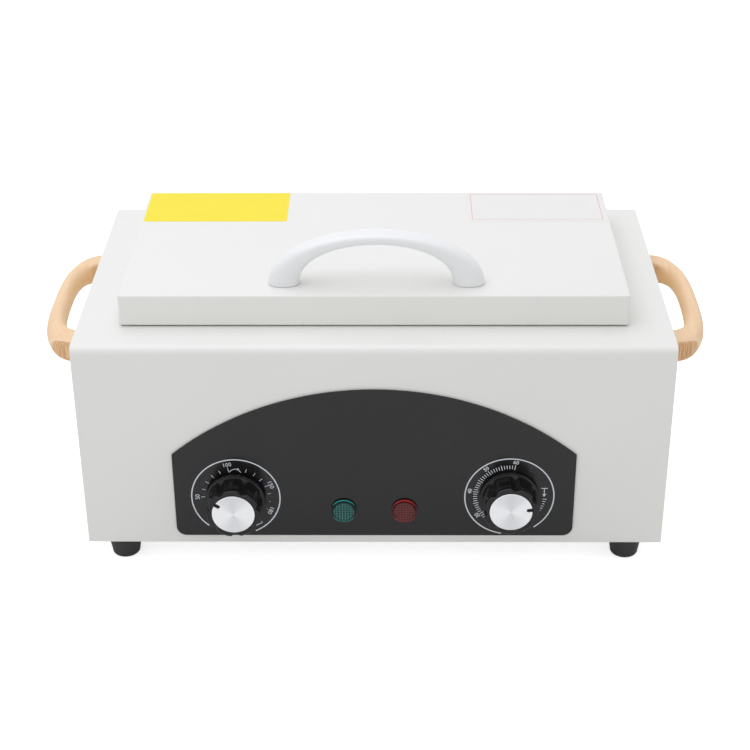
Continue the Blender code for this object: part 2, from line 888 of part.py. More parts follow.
def lid_handle_screws(lid, offset, data):
    for name, (x, y) in zip(("left", "right"), lid_screw_places()):
        spot = Vector(offset) + Vector((x, y, lid_top - sheet - seat_gap))
        place(f"lid_handle_screw_{name}", data, lid, spot)


def hinge_leaf(reach, middle):
    """One leaf of a butt hinge, lying along Y, with the middle knuckle above it or the outer two below."""
    half, radius = hinge_width / 2, hinge_barrel_radius
    inner, gap = half * hinge_middle_share, radius + seat_gap
    far, outer = half + cut_overrun, inner + seat_gap
    if middle:
        low, spans, away = radius - hinge_leaf_thickness, [(-inner, inner)], [(-far, -inner), (inner, far)]
    else:
        low, spans, away = -radius, [(-half, -outer), (outer, half)], [(-outer, outer)]
    mesh = box((-half, 0, low), (half, reach, low + hinge_leaf_thickness))
    mesh = cut(mesh, *[box((start, -cut_overrun, -gap), (end, gap, gap)) for start, end in away])
    mesh = join(mesh, *[rod("x", (0, 0), radius, start, end, hinge_sides) for start, end in spans])
    bore = rod("x", (0, 0), hinge_pin_radius + seat_gap, -far, far, screw_sides)
    return data_of("hinge_leaf", cut(mesh, bore), plated_steel())


def hinges(housing, lid):
    fixed = hinge_leaf(hinge_leaf_reach, False)
    moving = hinge_leaf(hinge_lid_leaf_reach, True)
    half = hinge_width / 2 + seat_gap
    end, head, slim = half + pin_head_height, pin_head_radius, hinge_pin_radius
    profile = [(head, -end), (head, -half), (slim, -half), (slim, half), (head, half), (head, end)]
    pin = data_of("hinge_pin", turned(profile, screw_sides), plated_steel())
    for name, x in (("left", -hinge_place), ("right", hinge_place)):
        place(f"hinge_cover_leaf_{name}", fixed, housing, (x, hinge_y, hinge_z))
        place(f"hinge_pin_{name}", pin, housing, (x, hinge_y, hinge_z), (0, math.radians(90), 0))
        place(f"hinge_lid_leaf_{name}", moving, lid, (x, 0, 0), (math.radians(90), 0, 0))


# Wooden handles on the two ends


def wooden_handles(housing, screw):
    outer = bow(grip_half_span, grip_reach, grip_outer_power, grip_stations)
    inner = bow(grip_finger_half_span, grip_finger_reach, grip_finger_power, grip_stations)
    mesh = arch(outer, inner, grip_height / 2, grip_section_power)
    bores = [rod("y", (side * grip_foot, 0), screw_radius + seat_gap, -cut_overrun,
                 screw_reach + 2 * seat_gap, screw_sides) for side in (-1, 1)]
    data = data_of("wooden_handle", cut(mesh, *bores), beech(), 60)
    for name, side in (("left", -1), ("right", 1)):
        turn = -side * math.radians(90)
        place(f"wooden_handle_{name}", data, housing,
              (side * (body_width / 2 + seat_gap), grip_middle, grip_z), (0, 0, turn))
        for row, way in (("front", -1), ("rear", 1)):
            spot = (side * (body_width / 2 - sheet - seat_gap), grip_middle + way * grip_foot, grip_z)
            place(f"handle_screw_{name}_{row}", screw, housing, spot, (0, side * math.radians(90), 0))


# Front panel, knobs, controls and lamps


def control_panel(housing):
    """The dark overlay on the front: straight sides and foot, and a crown that is one arc."""
    half, rise = panel_half_width, panel_crown_rise
    radius = (half**2 + rise**2) / (2 * rise)
    spread = math.degrees(math.asin(half / radius))
    crown = arc((0, panel_crown - radius), radius, 90 - spread, 90 + spread, panel_arc_steps)
    low = panel_bottom + panel_corner
    left = arc((panel_corner - half, low), panel_corner, 180, 270, corner_steps)
    right = arc((half - panel_corner, low), panel_corner, 270, 360, corner_steps)
    mesh = prism("y", crown + left + right, panel_face, -seat_gap)
    mesh = cut(mesh, *front_holes(panel_face - cut_overrun, cut_overrun))
    place("control_panel", data_of("control_panel", mesh, panel_black()), housing)


def fluted_ring(radius, depth, height):
    """A ring of broad lobes parted by narrower flutes, the first lobe in the middle of +X."""
    pitch = 2 * math.pi / knob_lobes
    half = list(knob_flute_shares)
    whole = half + [(1 - along, deep) for along, deep in half[-2:0:-1]]
    ring = []
    for lobe in range(knob_lobes):
        for along, deep in whole:
            angle = pitch * (lobe + along + half[-1][0])
            reach = radius - depth * deep
            ring.append((reach * math.cos(angle), reach * math.sin(angle), height))
    return ring


def knob_data():
    """A moulded knob: round skirt, fluted grip, seat for its cap, and a hollow back round the hub."""
    rings = [fluted_ring(knob_skirt_radius * wide, knob_flute_depth * deep, knob_length * up)
             for wide, deep, up in knob_profile_shares]
    seat = rod("z", (0, 0), cap_radius + seat_gap, knob_length - cap_seat_depth - seat_gap,
               knob_length + cut_overrun, cap_sides)
    hub, bore = knob_hub_setback, shaft_radius + seat_gap
    well = [(knob_well_radius, -cut_overrun), (knob_well_radius, knob_well_depth),
            (knob_hub_radius, knob_well_depth), (knob_hub_radius, hub), (bore, hub), (bore, knob_bore_depth)]
    return data_of("knob", cut(loft(rings), seat, turned(well, knob_bore_sides)), black_plastic(), 35)


def cap_data():
    """The turned aluminium disc in the knob's face, with the notch that points at the scale."""
    wall = cap_thickness - cap_chamfer
    profile = [(cap_radius, 0), (cap_radius, wall), (cap_radius - cap_chamfer, cap_thickness)]
    notch = box((cap_radius - cap_notch_length, -cap_notch_width / 2, -cut_overrun),
                (cap_radius + cut_overrun, cap_notch_width / 2, cut_overrun))
    return data_of("knob_cap", cut(turned(profile, cap_sides), notch), spun_aluminium())


def shaft_data(lift):
    """A shaft from inside its control to the bottom of the knob's bore, with a flat under the hub."""
    front = lift + knob_bore_depth - seat_gap
    mesh = rod("z", (0, 0), shaft_radius, control_seat_depth() - shaft_depth, front, control_sides)
    flat = box((shaft_radius * shaft_flat_share, -shaft_radius, lift + knob_hub_setback),
               (shaft_radius * 2, shaft_radius, front + cut_overrun))
    return data_of("shaft", cut(mesh, flat), plated_steel())


def control_seat_depth():
    """How far behind the panel's face a control sits, along the outward axis."""
    return -(panel_thickness + sheet + 2 * seat_gap)


def bushing_and_bore(seat):
    bushing = rod("z", (0, 0), bushing_radius, seat - sheet, bushing_reach, control_sides)
    start, end = seat - shaft_depth - seat_gap, bushing_reach + cut_overrun
    bore = rod("z", (0, 0), shaft_radius + seat_gap, start, end, control_sides)
    return bushing, bore


def thermostat_data():
    """A capillary thermostat: square case, threaded bushing, and the bellows cup on its back."""
    seat = control_seat_depth()
    back = seat - thermostat_depth
    case = rounded_rectangle((0, 0), thermostat_size, thermostat_size, thermostat_corner)
    mesh = prism("z", case, back, seat)
    cup = rod("z", (0, 0), thermostat_cup_radius, back - thermostat_cup_depth, back + sheet, control_sides)
    bushing, bore = bushing_and_bore(seat)
    return data_of("thermostat_body", cut(join(mesh, cup, bushing), bore), grey_plastic())


def timer_data():
    """A clockwork timer: two square plates on a narrower case, with a bushing and a bell post."""
    seat = control_seat_depth()
    plate = rounded_rectangle((0, 0), timer_size, timer_size, timer_corner)
    case = rounded_rectangle((0, 0), timer_case_size, timer_case_size, timer_corner)
    rear = seat - timer_plate - timer_case_depth
    back, step = rear - timer_plate, seat - timer_plate
    rings = [(plate, seat), (plate, step), (case, step), (case, rear), (plate, rear), (plate, back)]
    mesh = loft([[(x, y, height) for x, y in outline] for outline, height in rings])
    tip = back - timer_post_length
    post = rod("z", (0, 0), timer_post_radius, tip, back + timer_plate / 2, control_sides)
    bushing, bore = bushing_and_bore(seat)
    return data_of("timer_body", cut(join(mesh, post, bushing), bore), plated_steel())


def bell_data():
    """The timer's bell: a steel cup, open towards the case, on the post behind it."""
    back = control_seat_depth() - 2 * timer_plate - timer_case_depth
    rear = back - timer_post_length
    hole = timer_post_radius + seat_gap
    depth = timer_post_length - seat_gap - bell_wall

    def shell(radius, height):
        angles = [math.radians(90) * i / bell_steps for i in range(bell_steps + 1)]
        return [(radius * (1 - bell_draw_share * (1 - math.cos(a))), back - seat_gap - height * math.sin(a))
                for a in angles]

    outer, inner = shell(bell_radius, depth), shell(bell_radius - bell_wall, depth - bell_wall)
    profile = outer + [(hole, rear + bell_wall), (hole, rear + 2 * bell_wall)] + inner[::-1]
    return data_of("timer_bell", turned(profile, control_sides, looped=True), stainless())


def nut_data():
    mesh = rod("z", (0, 0), nut_radius, seat_gap, seat_gap + nut_thickness, 6)
    end = nut_thickness + cut_overrun
    bore = rod("z", (0, 0), bushing_radius + seat_gap, -cut_overrun, end, control_sides)
    return data_of("nut", cut(mesh, bore), plated_steel())


def controls(housing):
    """The thermostat and the timer, each with its nut and shaft and the knob that turns on its axis."""
    knob, cap, nut = knob_data(), cap_data(), nut_data()
    dials = {"temperature": (temperature_dial_x, temperature_dial_z), "timer": (timer_dial_x, timer_dial_z)}
    kinds = (("temperature", "thermostat", temperature_knob_lift, temperature_notch_angle, thermostat_data()),
             ("timer", "timer", timer_knob_lift, timer_notch_angle, timer_data()))
    for dial, control, lift, notch, body in kinds:
        x, z = dials[dial]
        axis = axis_empty(f"{dial}_axis", housing, (x, panel_face, z), (math.radians(90), 0, 0))
        turn = (0, 0, math.radians(notch))
        place(f"{dial}_knob", knob, axis, (0, 0, lift), (0, 0, math.radians(notch + knob_lobe_lead)))
        place(f"{dial}_knob_cap", cap, axis, (0, 0, lift + knob_length - cap_seat_depth), turn)
        place(f"{control}_shaft", shaft_data(lift), axis, (0, 0, 0), turn)
        place(f"{control}_body", body, axis)
        place(f"{control}_nut", nut, axis)
        if control == "timer":
            place("timer_bell", bell_data(), axis)


def thermostat_sensor(housing):
    """The bulb against the chamber's floor, and the capillary that leads from it to the bellows cup."""
    z = floor_bottom - seat_gap - bulb_radius
    length, tip = bulb_end - bulb_start, bulb_radius / 2
    ends = [(tip, 0), (bulb_radius, tip), (bulb_radius, length - tip), (tip, length)]
    data = data_of("thermostat_bulb", turned(ends, screw_sides), copper())
    place("thermostat_bulb", data, housing, (bulb_start, chamber_y, z), (0, math.radians(90), 0))
    cup_y = -panel_face_to_cup()
    under = jacket_bottom
    middle, high, slack = (cup_y + chamber_y) / 2, temperature_dial_z, capillary_slack
    route = [(temperature_dial_x, cup_y + seat_gap, high),
             (temperature_dial_x, cup_y + slack, high),
             (temperature_dial_x - slack, middle, high - slack / 2),
             (capillary_hole_x, chamber_y - slack / 2, (high + under) / 2),
             (capillary_hole_x, chamber_y, under),
             (capillary_hole_x, chamber_y, jacket_inner_floor),
             (capillary_hole_x + slack / 2, chamber_y, z),
             (bulb_start - slack / 2, chamber_y, z),
             (bulb_start - seat_gap, chamber_y, z)]
    tube("thermostat_capillary", smooth_route(route, 3), capillary_radius, copper(), housing, resolution=1)


def panel_face_to_cup():
    """The bellows cup's back, on the axis that points out of the panel."""
    return control_seat_depth() - thermostat_depth - thermostat_cup_depth - panel_face


def lamps(housing):
    """Two round pilot lamps: a coloured lens in front of the panel and its holder behind."""
    lens = [(lamp_radius * wide, seat_gap + lamp_face * up) for wide, up in lens_profile_shares]
    seat, slim, wide = control_seat_depth(), lamp_body_radius, lamp_collar_radius
    step = seat - lamp_collar_length
    holder = [(slim, 0), (slim, seat), (wide, seat), (wide, step), (slim, step),
              (slim, -lamp_body_length), (slim * lamp_tail_share, -lamp_body_length)]
    holder_data = data_of("lamp_holder", turned(holder, control_sides), black_plastic())
    for name, side, colour in (("green", -1, green_lens()), ("red", 1, red_lens())):
        spot = (side * lamp_spacing / 2, panel_face, lamp_height)
        data = data_of(f"{name}_lamp_lens", turned(lens, lamp_sides), colour)
        place(f"{name}_lamp_lens", data, housing, spot, (math.radians(90), 0, 0))
        place(f"{name}_lamp_holder", holder_data, housing, spot, (math.radians(90), 0, 0))


# Mains inlet in the rear wall


def mains_inlet(housing):
    face = body_depth + seat_gap + inlet_flange
    mesh = prism("y", inlet_outline(inlet_flange_width, inlet_flange_height, inlet_corner),
                 body_depth + seat_gap, face)
    case = prism("y", inlet_outline(inlet_body_width, inlet_body_height, inlet_corner),
                 face - inlet_body_depth, face - inlet_flange / 2)
    floor = face - inlet_socket_depth
    socket = prism("y", inlet_outline(inlet_socket_width, inlet_socket_height, inlet_socket_corner),
                   floor, face + cut_overrun)
    pins = inlet_pin_places()
    slot = (inlet_pin_width + 2 * seat_gap, 2 * inlet_body_depth, inlet_pin_height + 2 * seat_gap)
    slots = [centred_box((x, floor, z), slot) for x, z in pins.values()]
    mesh = cut(cut(join(mesh, case), socket), *slots)
    place("mains_inlet", data_of("mains_inlet", mesh, black_plastic()), housing)
    front, back = face - inlet_pin_setback, face - inlet_body_depth - inlet_tab_length
    size = (inlet_pin_width, front - back, inlet_pin_height)
    data = data_of("inlet_pin", centred_box((0, 0, 0), size), brass())
    for name, (x, z) in pins.items():
        place(f"inlet_pin_{name}", data, housing, (x, (front + back) / 2, z))


def inlet_pin_places():
    return {"line": (inlet_x - inlet_pin_spacing, inlet_height - inlet_pin_stagger),
            "neutral": (inlet_x + inlet_pin_spacing, inlet_height - inlet_pin_stagger),
            "earth": (inlet_x, inlet_height + inlet_pin_stagger)}


def build():
    clear_scene()
    housing = axis_empty("housing", None, (0, front_y, foot_height))
    lid = axis_empty("lid_axis", housing, (0, hinge_y, hinge_z))
    offset = (0, -hinge_y, -hinge_z)
    screw = screw_data()
    outer_cover(housing)
    side_panel("side_panel_left", -1, housing)
    side_panel("side_panel_right", 1, housing)
    base_plate(housing)
    feet(housing)
    inner_chamber(housing)
    chamber_insulation(housing)
    heating_element(housing)
    heater_brackets(housing)
    instrument_tray(housing)
    lid_shell(lid, offset)
    lid_liner(lid, offset)
    lid_insulation(lid, offset)
    lid_handle(lid, offset)
    lid_handle_screws(lid, offset, screw)
    hinges(housing, lid)
    wooden_handles(housing, screw)
    control_panel(housing)
    controls(housing)
    thermostat_sensor(housing)
    lamps(housing)
    mains_inlet(housing)


build()
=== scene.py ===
"""Looks of a bench-top dry heat sterilizer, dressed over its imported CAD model.

The sections follow the sterilizer as it is put together. Sizes are in
millimetres from the middle of the cover's front edge: X to the right, Y to the
rear and Z up from the cover's bottom, so each mesh is scaled once, at its end.
"""

import math

import bmesh
import bpy
from mathutils import Matrix, Vector


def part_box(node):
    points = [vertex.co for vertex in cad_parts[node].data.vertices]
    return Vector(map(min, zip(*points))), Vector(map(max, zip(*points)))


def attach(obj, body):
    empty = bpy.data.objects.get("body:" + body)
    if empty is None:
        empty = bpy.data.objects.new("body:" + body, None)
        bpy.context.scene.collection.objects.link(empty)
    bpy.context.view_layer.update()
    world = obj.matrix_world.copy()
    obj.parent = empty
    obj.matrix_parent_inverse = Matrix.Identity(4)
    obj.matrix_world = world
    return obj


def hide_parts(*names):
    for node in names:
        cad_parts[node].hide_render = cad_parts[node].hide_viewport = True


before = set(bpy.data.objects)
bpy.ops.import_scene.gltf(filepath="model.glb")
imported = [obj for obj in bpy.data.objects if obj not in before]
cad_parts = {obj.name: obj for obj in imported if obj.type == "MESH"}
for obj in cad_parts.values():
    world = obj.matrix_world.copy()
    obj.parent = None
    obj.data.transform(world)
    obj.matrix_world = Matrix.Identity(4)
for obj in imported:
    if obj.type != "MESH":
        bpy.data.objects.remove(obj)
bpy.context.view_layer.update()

# The camera
# It stands where the photograph was taken from: in front of the sterilizer and
# above it, with a long lens that looks down on the lid.
camera = bpy.data.objects.new("camera", bpy.data.cameras.new("camera"))
bpy.context.scene.collection.objects.link(camera)
bpy.context.scene.camera = camera
camera.data.sensor_width, camera.data.lens, camera.data.clip_start = 36, 80.15, 0.01
yaw, pitch, roll = map(math.radians, (-0.71, 29.125, -0.331))
ahead = Vector((math.sin(yaw) * math.cos(pitch), math.cos(yaw) * math.cos(pitch), -math.sin(pitch)))
level = Vector((math.cos(yaw), -math.sin(yaw), 0))
upright = level.cross(ahead)
right = level * math.cos(roll) + upright * math.sin(roll)
up = upright * math.cos(roll) - level * math.sin(roll)
camera.matrix_world = Matrix.Translation((0.011388, -0.934288, 0.603435)) @ Matrix((right, up, -ahead)).transposed().to_4x4()

# The studio
# A white sweep with a large soft box overhead, a weaker one in front, and an
# even white room round them.


class Wire:
    """A socket of a node tree, with which sums can be written as on numbers."""

    def __init__(self, plan, socket):
        self.plan, self.socket = plan, socket

    def sum(self, operation, first, second):
        return self.plan.node("ShaderNodeMath", {"operation": operation}, {0: first, 1: second})

    def __add__(self, other):
        return self.sum("ADD", self, other)

    def __radd__(self, other):
        return self.sum("ADD", other, self)

    def __sub__(self, other):
        return self.sum("SUBTRACT", self, other)

    def __rsub__(self, other):
        return self.sum("SUBTRACT", other, self)

    def __mul__(self, other):
        return self.sum("MULTIPLY", self, other)

    def __rmul__(self, other):
        return self.sum("MULTIPLY", other, self)

    def __truediv__(self, other):
        return self.sum("DIVIDE", self, other)

    def __pow__(self, other):
        return self.sum("POWER", self, other)

    def __gt__(self, other):
        return self.sum("GREATER_THAN", self, other)

    def __lt__(self, other):
        return self.sum("LESS_THAN", self, other)


class Plan:
    """A node tree that is filled one node at a time."""

    def __init__(self, tree):
        self.tree = tree

    def node(self, kind, settings=None, inputs=None, output=0):
        made = self.tree.nodes.new(kind)
        for key, value in (settings or {}).items():
            if key == "stops":
                for stop, (place, colour) in zip(self.stops(made, len(value)), value):
                    stop.position, stop.color = place, (*colour, 1)
            else:
                setattr(made, key, value)
        for key, value in (inputs or {}).items():
            self.feed(made.inputs[key], value)
        return Wire(self, made.outputs[output])

    def stops(self, made, count):
        while len(made.color_ramp.elements) < count:
            made.color_ramp.elements.new(0.5)
        return made.color_ramp.elements

    def feed(self, socket, value):
        if isinstance(value, Wire):
            self.tree.links.new(value.socket, socket)
        elif isinstance(value, tuple) and socket.type == "RGBA":
            socket.default_value = (*value, 1)
        else:
            socket.default_value = value

    def blend(self, factor, first, second):
        """Two colours mixed by a factor."""
        return self.node("ShaderNodeMix", {"data_type": "RGBA"}, {0: factor, 6: first, 7: second}, 2)

    def rays(self):
        """1 for each kind of ray that shows a surface: seen straight, mirrored, and through something clear."""
        return [self.node("ShaderNodeLightPath", output=f"Is {kind} Ray") for kind in ("Camera", "Glossy", "Transmission")]

    def end(self, kind, result, socket="Surface"):
        """Closes the tree with its output node."""
        self.tree.links.new(result.socket, self.tree.nodes.new(kind).inputs[socket])


floor_mesh = bpy.data.meshes.new("studio_floor")
floor_mesh.from_pydata([(-4, -4, 0), (4, -4, 0), (4, 4, 0), (-4, 4, 0)], [], [(0, 1, 2, 3)])
floor = bpy.data.objects.new("studio_floor", floor_mesh)
bpy.context.scene.collection.objects.link(floor)
sweep = bpy.data.materials.new("white_sweep")
sweep.use_nodes = True
sweep.node_tree.nodes.clear()
plan = Plan(sweep.node_tree)
paper = plan.node("ShaderNodeBsdfDiffuse", inputs={"Color": (0.84, 0.84, 0.84)})
straight, mirrored, through = plan.rays()
lift = plan.node("ShaderNodeEmission", inputs={"Color": (1.0, 1.0, 1.0), "Strength": straight * 0.70 + (mirrored + through) * 0.15})
plan.end("ShaderNodeOutputMaterial", plan.node("ShaderNodeAddShader", inputs={0: paper, 1: lift}))
floor_mesh.materials.append(sweep)

room = bpy.data.worlds.new("white_room")
bpy.context.scene.world = room
room.use_nodes = True
room.node_tree.nodes.clear()
plan = Plan(room.node_tree)
room_light = 0.69
straight, mirrored, through = plan.rays()
bare = plan.node("ShaderNodeMath", {"operation": "MINIMUM"}, {0: straight + mirrored + through, 1: 1.0})
plan.end("ShaderNodeOutputWorld", plan.node("ShaderNodeBackground", inputs={
    "Color": (1.0, 1.0, 1.0), "Strength": bare * (1 - room_light) + room_light}))


def soft_box(name, size, power, place, aim, tint):
    """A square lamp that faces a point."""
    data = bpy.data.lights.new(name, "AREA")
    data.shape, data.size, data.size_y, data.energy, data.color = "RECTANGLE", size[0], size[1], power, tint
    lamp = bpy.data.objects.new(name, data)
    lamp.location = place
    lamp.rotation_euler = (Vector(aim) - Vector(place)).to_track_quat("-Z", "Y").to_euler()
    bpy.context.scene.collection.objects.link(lamp)


soft_box("soft_box_overhead", (1.7, 1.3), 8.6, (-0.30, 0.05, 1.42), (0, 0, 0.05), (0.975, 1.0, 1.10))
soft_box("soft_box_front", (1.1, 0.6), 0.9, (-0.50, -1.45, 0.50), (0, 0, 0.08), (1.0, 0.99, 0.97))
bpy.context.scene.view_settings.view_transform = "Standard"

# Outer cover
# One sheet of 1 mm steel folded over front, top and rear, with a lip under each
# wall. It is punched before it is folded, and finished in white powder coat.


class Finish(Plan):
    """A procedural finish: a Principled shader and what feeds it."""

    def __init__(self, name, **settings):
        self.material = bpy.data.materials.new(name)
        self.material.use_nodes = True
        super().__init__(self.material.node_tree)
        self.shader = self.tree.nodes["Principled BSDF"]
        self.spot = self.node("ShaderNodeTexCoord", output="Object")
        self.set(**settings)

    def set(self, **settings):
        for key, value in settings.items():
            self.feed(self.shader.inputs[key.replace("_", " ")], value)

    def noise(self, scale, detail=2.0, roughness=0.5, stretch=(1, 1, 1), turn=(0, 0, 0)):
        """Cloudy noise, with its features per metre, drawn out along an axis if it is stretched."""
        spot = self.node("ShaderNodeMapping", {}, {"Vector": self.spot, "Rotation": turn, "Scale": stretch})
        return self.node("ShaderNodeTexNoise", {}, {"Vector": spot, "Scale": scale, "Detail": detail, "Roughness": roughness})

    def bump(self, height, depth, strength=1.0):
        """Bumps of a depth in metres that feed the shader's normal."""
        self.set(Normal=self.node("ShaderNodeBump", {}, {"Strength": strength, "Distance": depth, "Height": height}))


white_paint = Finish("white_powder_coat", IOR=1.48)
cloud = white_paint.noise(14, 3)
peel = white_paint.noise(1100, 2)
white_paint.set(Base_Color=white_paint.blend(cloud, (0.802, 0.801, 0.768), (0.832, 0.831, 0.798)),
                Roughness=0.34 + 0.10 * cloud)
white_paint.bump(peel, 0.00003, 0.35)

HOUSING = Matrix.Translation((0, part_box("outer_cover")[0].y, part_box("outer_cover")[0].z)) @ Matrix.Scale(0.001, 4)


def arc(centre, radius, start, end, steps):
    angles = [math.radians(start + (end - start) * i / steps) for i in range(steps + 1)]
    return [(centre[0] + radius * math.cos(a), centre[1] + radius * math.sin(a)) for a in angles]


def rounded(centre, width, height, corner, steps=10):
    """A rounded rectangle, counter-clockwise."""
    outline = []
    for across, along, start in ((1, 1, 0), (-1, 1, 90), (-1, -1, 180), (1, -1, 270)):
        middle = (centre[0] + across * (width / 2 - corner), centre[1] + along * (height / 2 - corner))
        outline += arc(middle, corner, start, start + 90, steps)
    return outline


def mesh_of(name, points, faces):
    mesh = bpy.data.meshes.new(name)
    mesh.from_pydata([tuple(p) for p in points], [], faces)
    work = bmesh.new()
    work.from_mesh(mesh)
    bmesh.ops.remove_doubles(work, verts=work.verts, dist=1e-5)
    bmesh.ops.recalc_face_normals(work, faces=work.faces)
    work.to_mesh(mesh)
    work.free()
    return mesh


def loft(name, rings, looped=False, capped=True):
    """A skin over rings of as many points each, closed at its ends or into a loop."""
    count, points, faces = len(rings[0]), [p for ring in rings for p in ring], []
    for i in range(len(rings) if looped else len(rings) - 1):
        near, far = i * count, (i + 1) % len(rings) * count
        faces += [(near + j, near + (j + 1) % count, far + (j + 1) % count, far + j) for j in range(count)]
    if capped and not looped:
        faces += [tuple(range(count))[::-1], tuple(range(len(points) - count, len(points)))]
    return mesh_of(name, points, faces)


AXES = {"x": (1, 2, 0), "y": (0, 2, 1), "z": (0, 1, 2)}


def prism(axis, outline, start, end, name="block"):
    first, second, third = AXES[axis]
    rings = []
    for level_ in (start, end):
        ring = []
        for u, v in outline:
            point = [0, 0, 0]
            point[first], point[second], point[third] = u, v, level_
            ring.append(point)
        rings.append(ring)
    return loft(name, rings)


def turned(name, profile, sides=64, looped=False):
    """A profile of (radius, height) spun round Z."""
    rings = [[(r * math.cos(2 * math.pi * j / sides), r * math.sin(2 * math.pi * j / sides), h) for j in range(sides)]
             for r, h in profile]
    return loft(name, rings, looped)


def carried(mesh):
    """A helper object for a mesh."""
    helper = bpy.data.objects.new("helper", mesh)
    bpy.context.scene.collection.objects.link(helper)
    return helper


def applied(helper):
    """The helper's mesh with its modifiers applied, and the helper gone."""
    bpy.context.view_layer.update()
    graph = bpy.context.evaluated_depsgraph_get()
    mesh = bpy.data.meshes.new_from_object(helper.evaluated_get(graph))
    bpy.data.objects.remove(helper)
    return mesh


def cut(mesh, *tools):
    helper, cutters = carried(mesh), [carried(tool) for tool in tools]
    for cutter in cutters:
        change = helper.modifiers.new("cut", "BOOLEAN")
        change.operation, change.solver, change.object = "DIFFERENCE", "EXACT", cutter
    mesh = applied(helper)
    for cutter in cutters:
        bpy.data.objects.remove(cutter)
    return mesh


def edged(mesh, width, segments=2, angle=32):
    """The mesh with its sharp edges rounded to a radius."""
    helper = carried(mesh)
    change = helper.modifiers.new("edges", "BEVEL")
    change.width, change.segments, change.limit_method = width, segments, "ANGLE"
    change.angle_limit, change.use_clamp_overlap, change.miter_outer = math.radians(angle), True, "MITER_ARC"
    change.harden_normals = False
    return applied(helper)


def piece(name, mesh, finish, body, nodes=(), place=None, smooth=32):
    """A finished piece at its place in the row's frame, which rides on a body and stands for its nodes."""
    mesh.name = name
    mesh.transform(HOUSING @ (place or Matrix.Identity(4)))
    if finish is not None:
        mesh.materials.clear()
        mesh.materials.append(finish.material)
    mesh.shade_smooth()
    mesh.set_sharp_from_angle(angle=math.radians(smooth))
    made = bpy.data.objects.new(name, mesh)
    bpy.context.scene.collection.objects.link(made)
    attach(made, body)
    if nodes:
        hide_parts(*nodes)
    return made


WIDTH, DEPTH, HEIGHT = 350, 200, 135
FOLD, REAR_FOLD, LIP = 4.6, 1.4, 26
CHAMBER_Y = 104.15
LAMP_X, LAMP_Z = 18.3, 24.8
DIALS = {"temperature": (-83.3, 34.1), "timer": (81.3, 34.7)}
PANEL_HOLES = [(DIALS["temperature"], 5.3), (DIALS["timer"], 5.3), ((-LAMP_X, LAMP_Z), 6.5), ((LAMP_X, LAMP_Z), 6.5)]
FOOT_PLACES = {f"{row}_{name}": (x, y) for row, y in (("front", 14.5), ("rear", 185.5))
               for name, x in (("left", -155), ("right", 155))}


def cover_profile():
    front_bend, rear_bend = (FOLD, HEIGHT - FOLD), (DEPTH - REAR_FOLD, HEIGHT - REAR_FOLD)
    outside = [(LIP, 0)] + arc((1, 1), 1, 270, 180, 4) + arc(front_bend, FOLD, 180, 90, 16)
    outside += arc(rear_bend, REAR_FOLD, 90, 0, 6) + arc((DEPTH - 1, 1), 1, 0, -90, 4) + [(DEPTH - LIP, 0)]
    inside = [(DEPTH - LIP, 1), (DEPTH - 1, 1)] + arc(rear_bend, REAR_FOLD - 1, 0, 90, 6)
    inside += arc(front_bend, FOLD - 1, 90, 180, 16) + [(1, 1), (LIP, 1)]
    return outside + inside


cover = prism("x", cover_profile(), -WIDTH / 2, WIDTH / 2)
openings = [prism("z", rounded((0, CHAMBER_Y), 272, 132, 12), HEIGHT - 4, HEIGHT + 4),
            prism("y", rounded((112, 36), 28, 20.6, 2), DEPTH - 4, DEPTH + 4)]
openings += [prism("y", arc(spot, radius, 0, 348.75, 31), -4, 4) for spot, radius in PANEL_HOLES]
openings += [prism("z", arc(spot, 3.8, 0, 345, 23), -4, 4) for spot in FOOT_PLACES.values()]
cover = edged(cut(cover, *openings), 0.28)
piece("folded_cover", cover, white_paint, "housing", ["outer_cover"], smooth=20)

# End panels
# A shallow pressed pan closes each end of the cover. Its face stands flush with
# the cover's edge, and its flanges turn inwards along the front, top and rear.


def end_outline(inset):
    low = 1.3 + inset
    corner = FOLD - low
    front_bend = arc((low + corner, HEIGHT - low - corner), corner, 180, 90, 16)
    rear_bend = arc((DEPTH - low - 0.6, HEIGHT - low - 0.6), 0.6, 90, 0, 4)
    return [(low, 1.3)] + front_bend + rear_bend + [(DEPTH - low, 1.3)]


for side, name in ((-1, "left"), (1, "right")):
    rings = []
    for inset, depth in [(0, 12), (0, 1.2), (0.09, 0.75), (0.35, 0.35), (0.75, 0.09), (1.2, 0)]:
        rings.append([(side * (WIDTH / 2 - depth), y, z) for y, z in end_outline(inset)])
    pan = loft("pan", rings)
    hollow = [(y, z if z > 2 else -4) for y, z in end_outline(1)]
    pan = cut(pan, prism("x", hollow, side * (WIDTH / 2 - 1), side * (WIDTH / 2 - 16)))
    piece(f"end_panel_{name}", pan, white_paint, "housing", [f"side_panel_{name}"], smooth=25)

# Base plate
# A flat plate of zinc-coated steel with two rows of vents, which the feet hold
# between their stems and the cover's lips.
zinc = Finish("zinc_plate", Metallic=1.0)
spangle = zinc.node("ShaderNodeTexVoronoi", {"feature": "F1"}, {"Vector": zinc.spot, "Scale": 110, "Randomness": 1.0}, "Color")
shade = zinc.node("ShaderNodeSeparateColor", {}, {"Color": spangle}, "Red")
zinc.set(Base_Color=zinc.blend(shade, (0.46, 0.48, 0.50), (0.64, 0.66, 0.67)), Roughness=0.34 + 0.22 * shade)
zinc.bump(zinc.noise(500), 0.00002, 0.4)


def coat(finish, *nodes):
    """Gives CAD nodes that keep their shape a finish."""
    for node in nodes:
        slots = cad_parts[node].data.materials
        slots.clear()
        slots.append(finish.material)


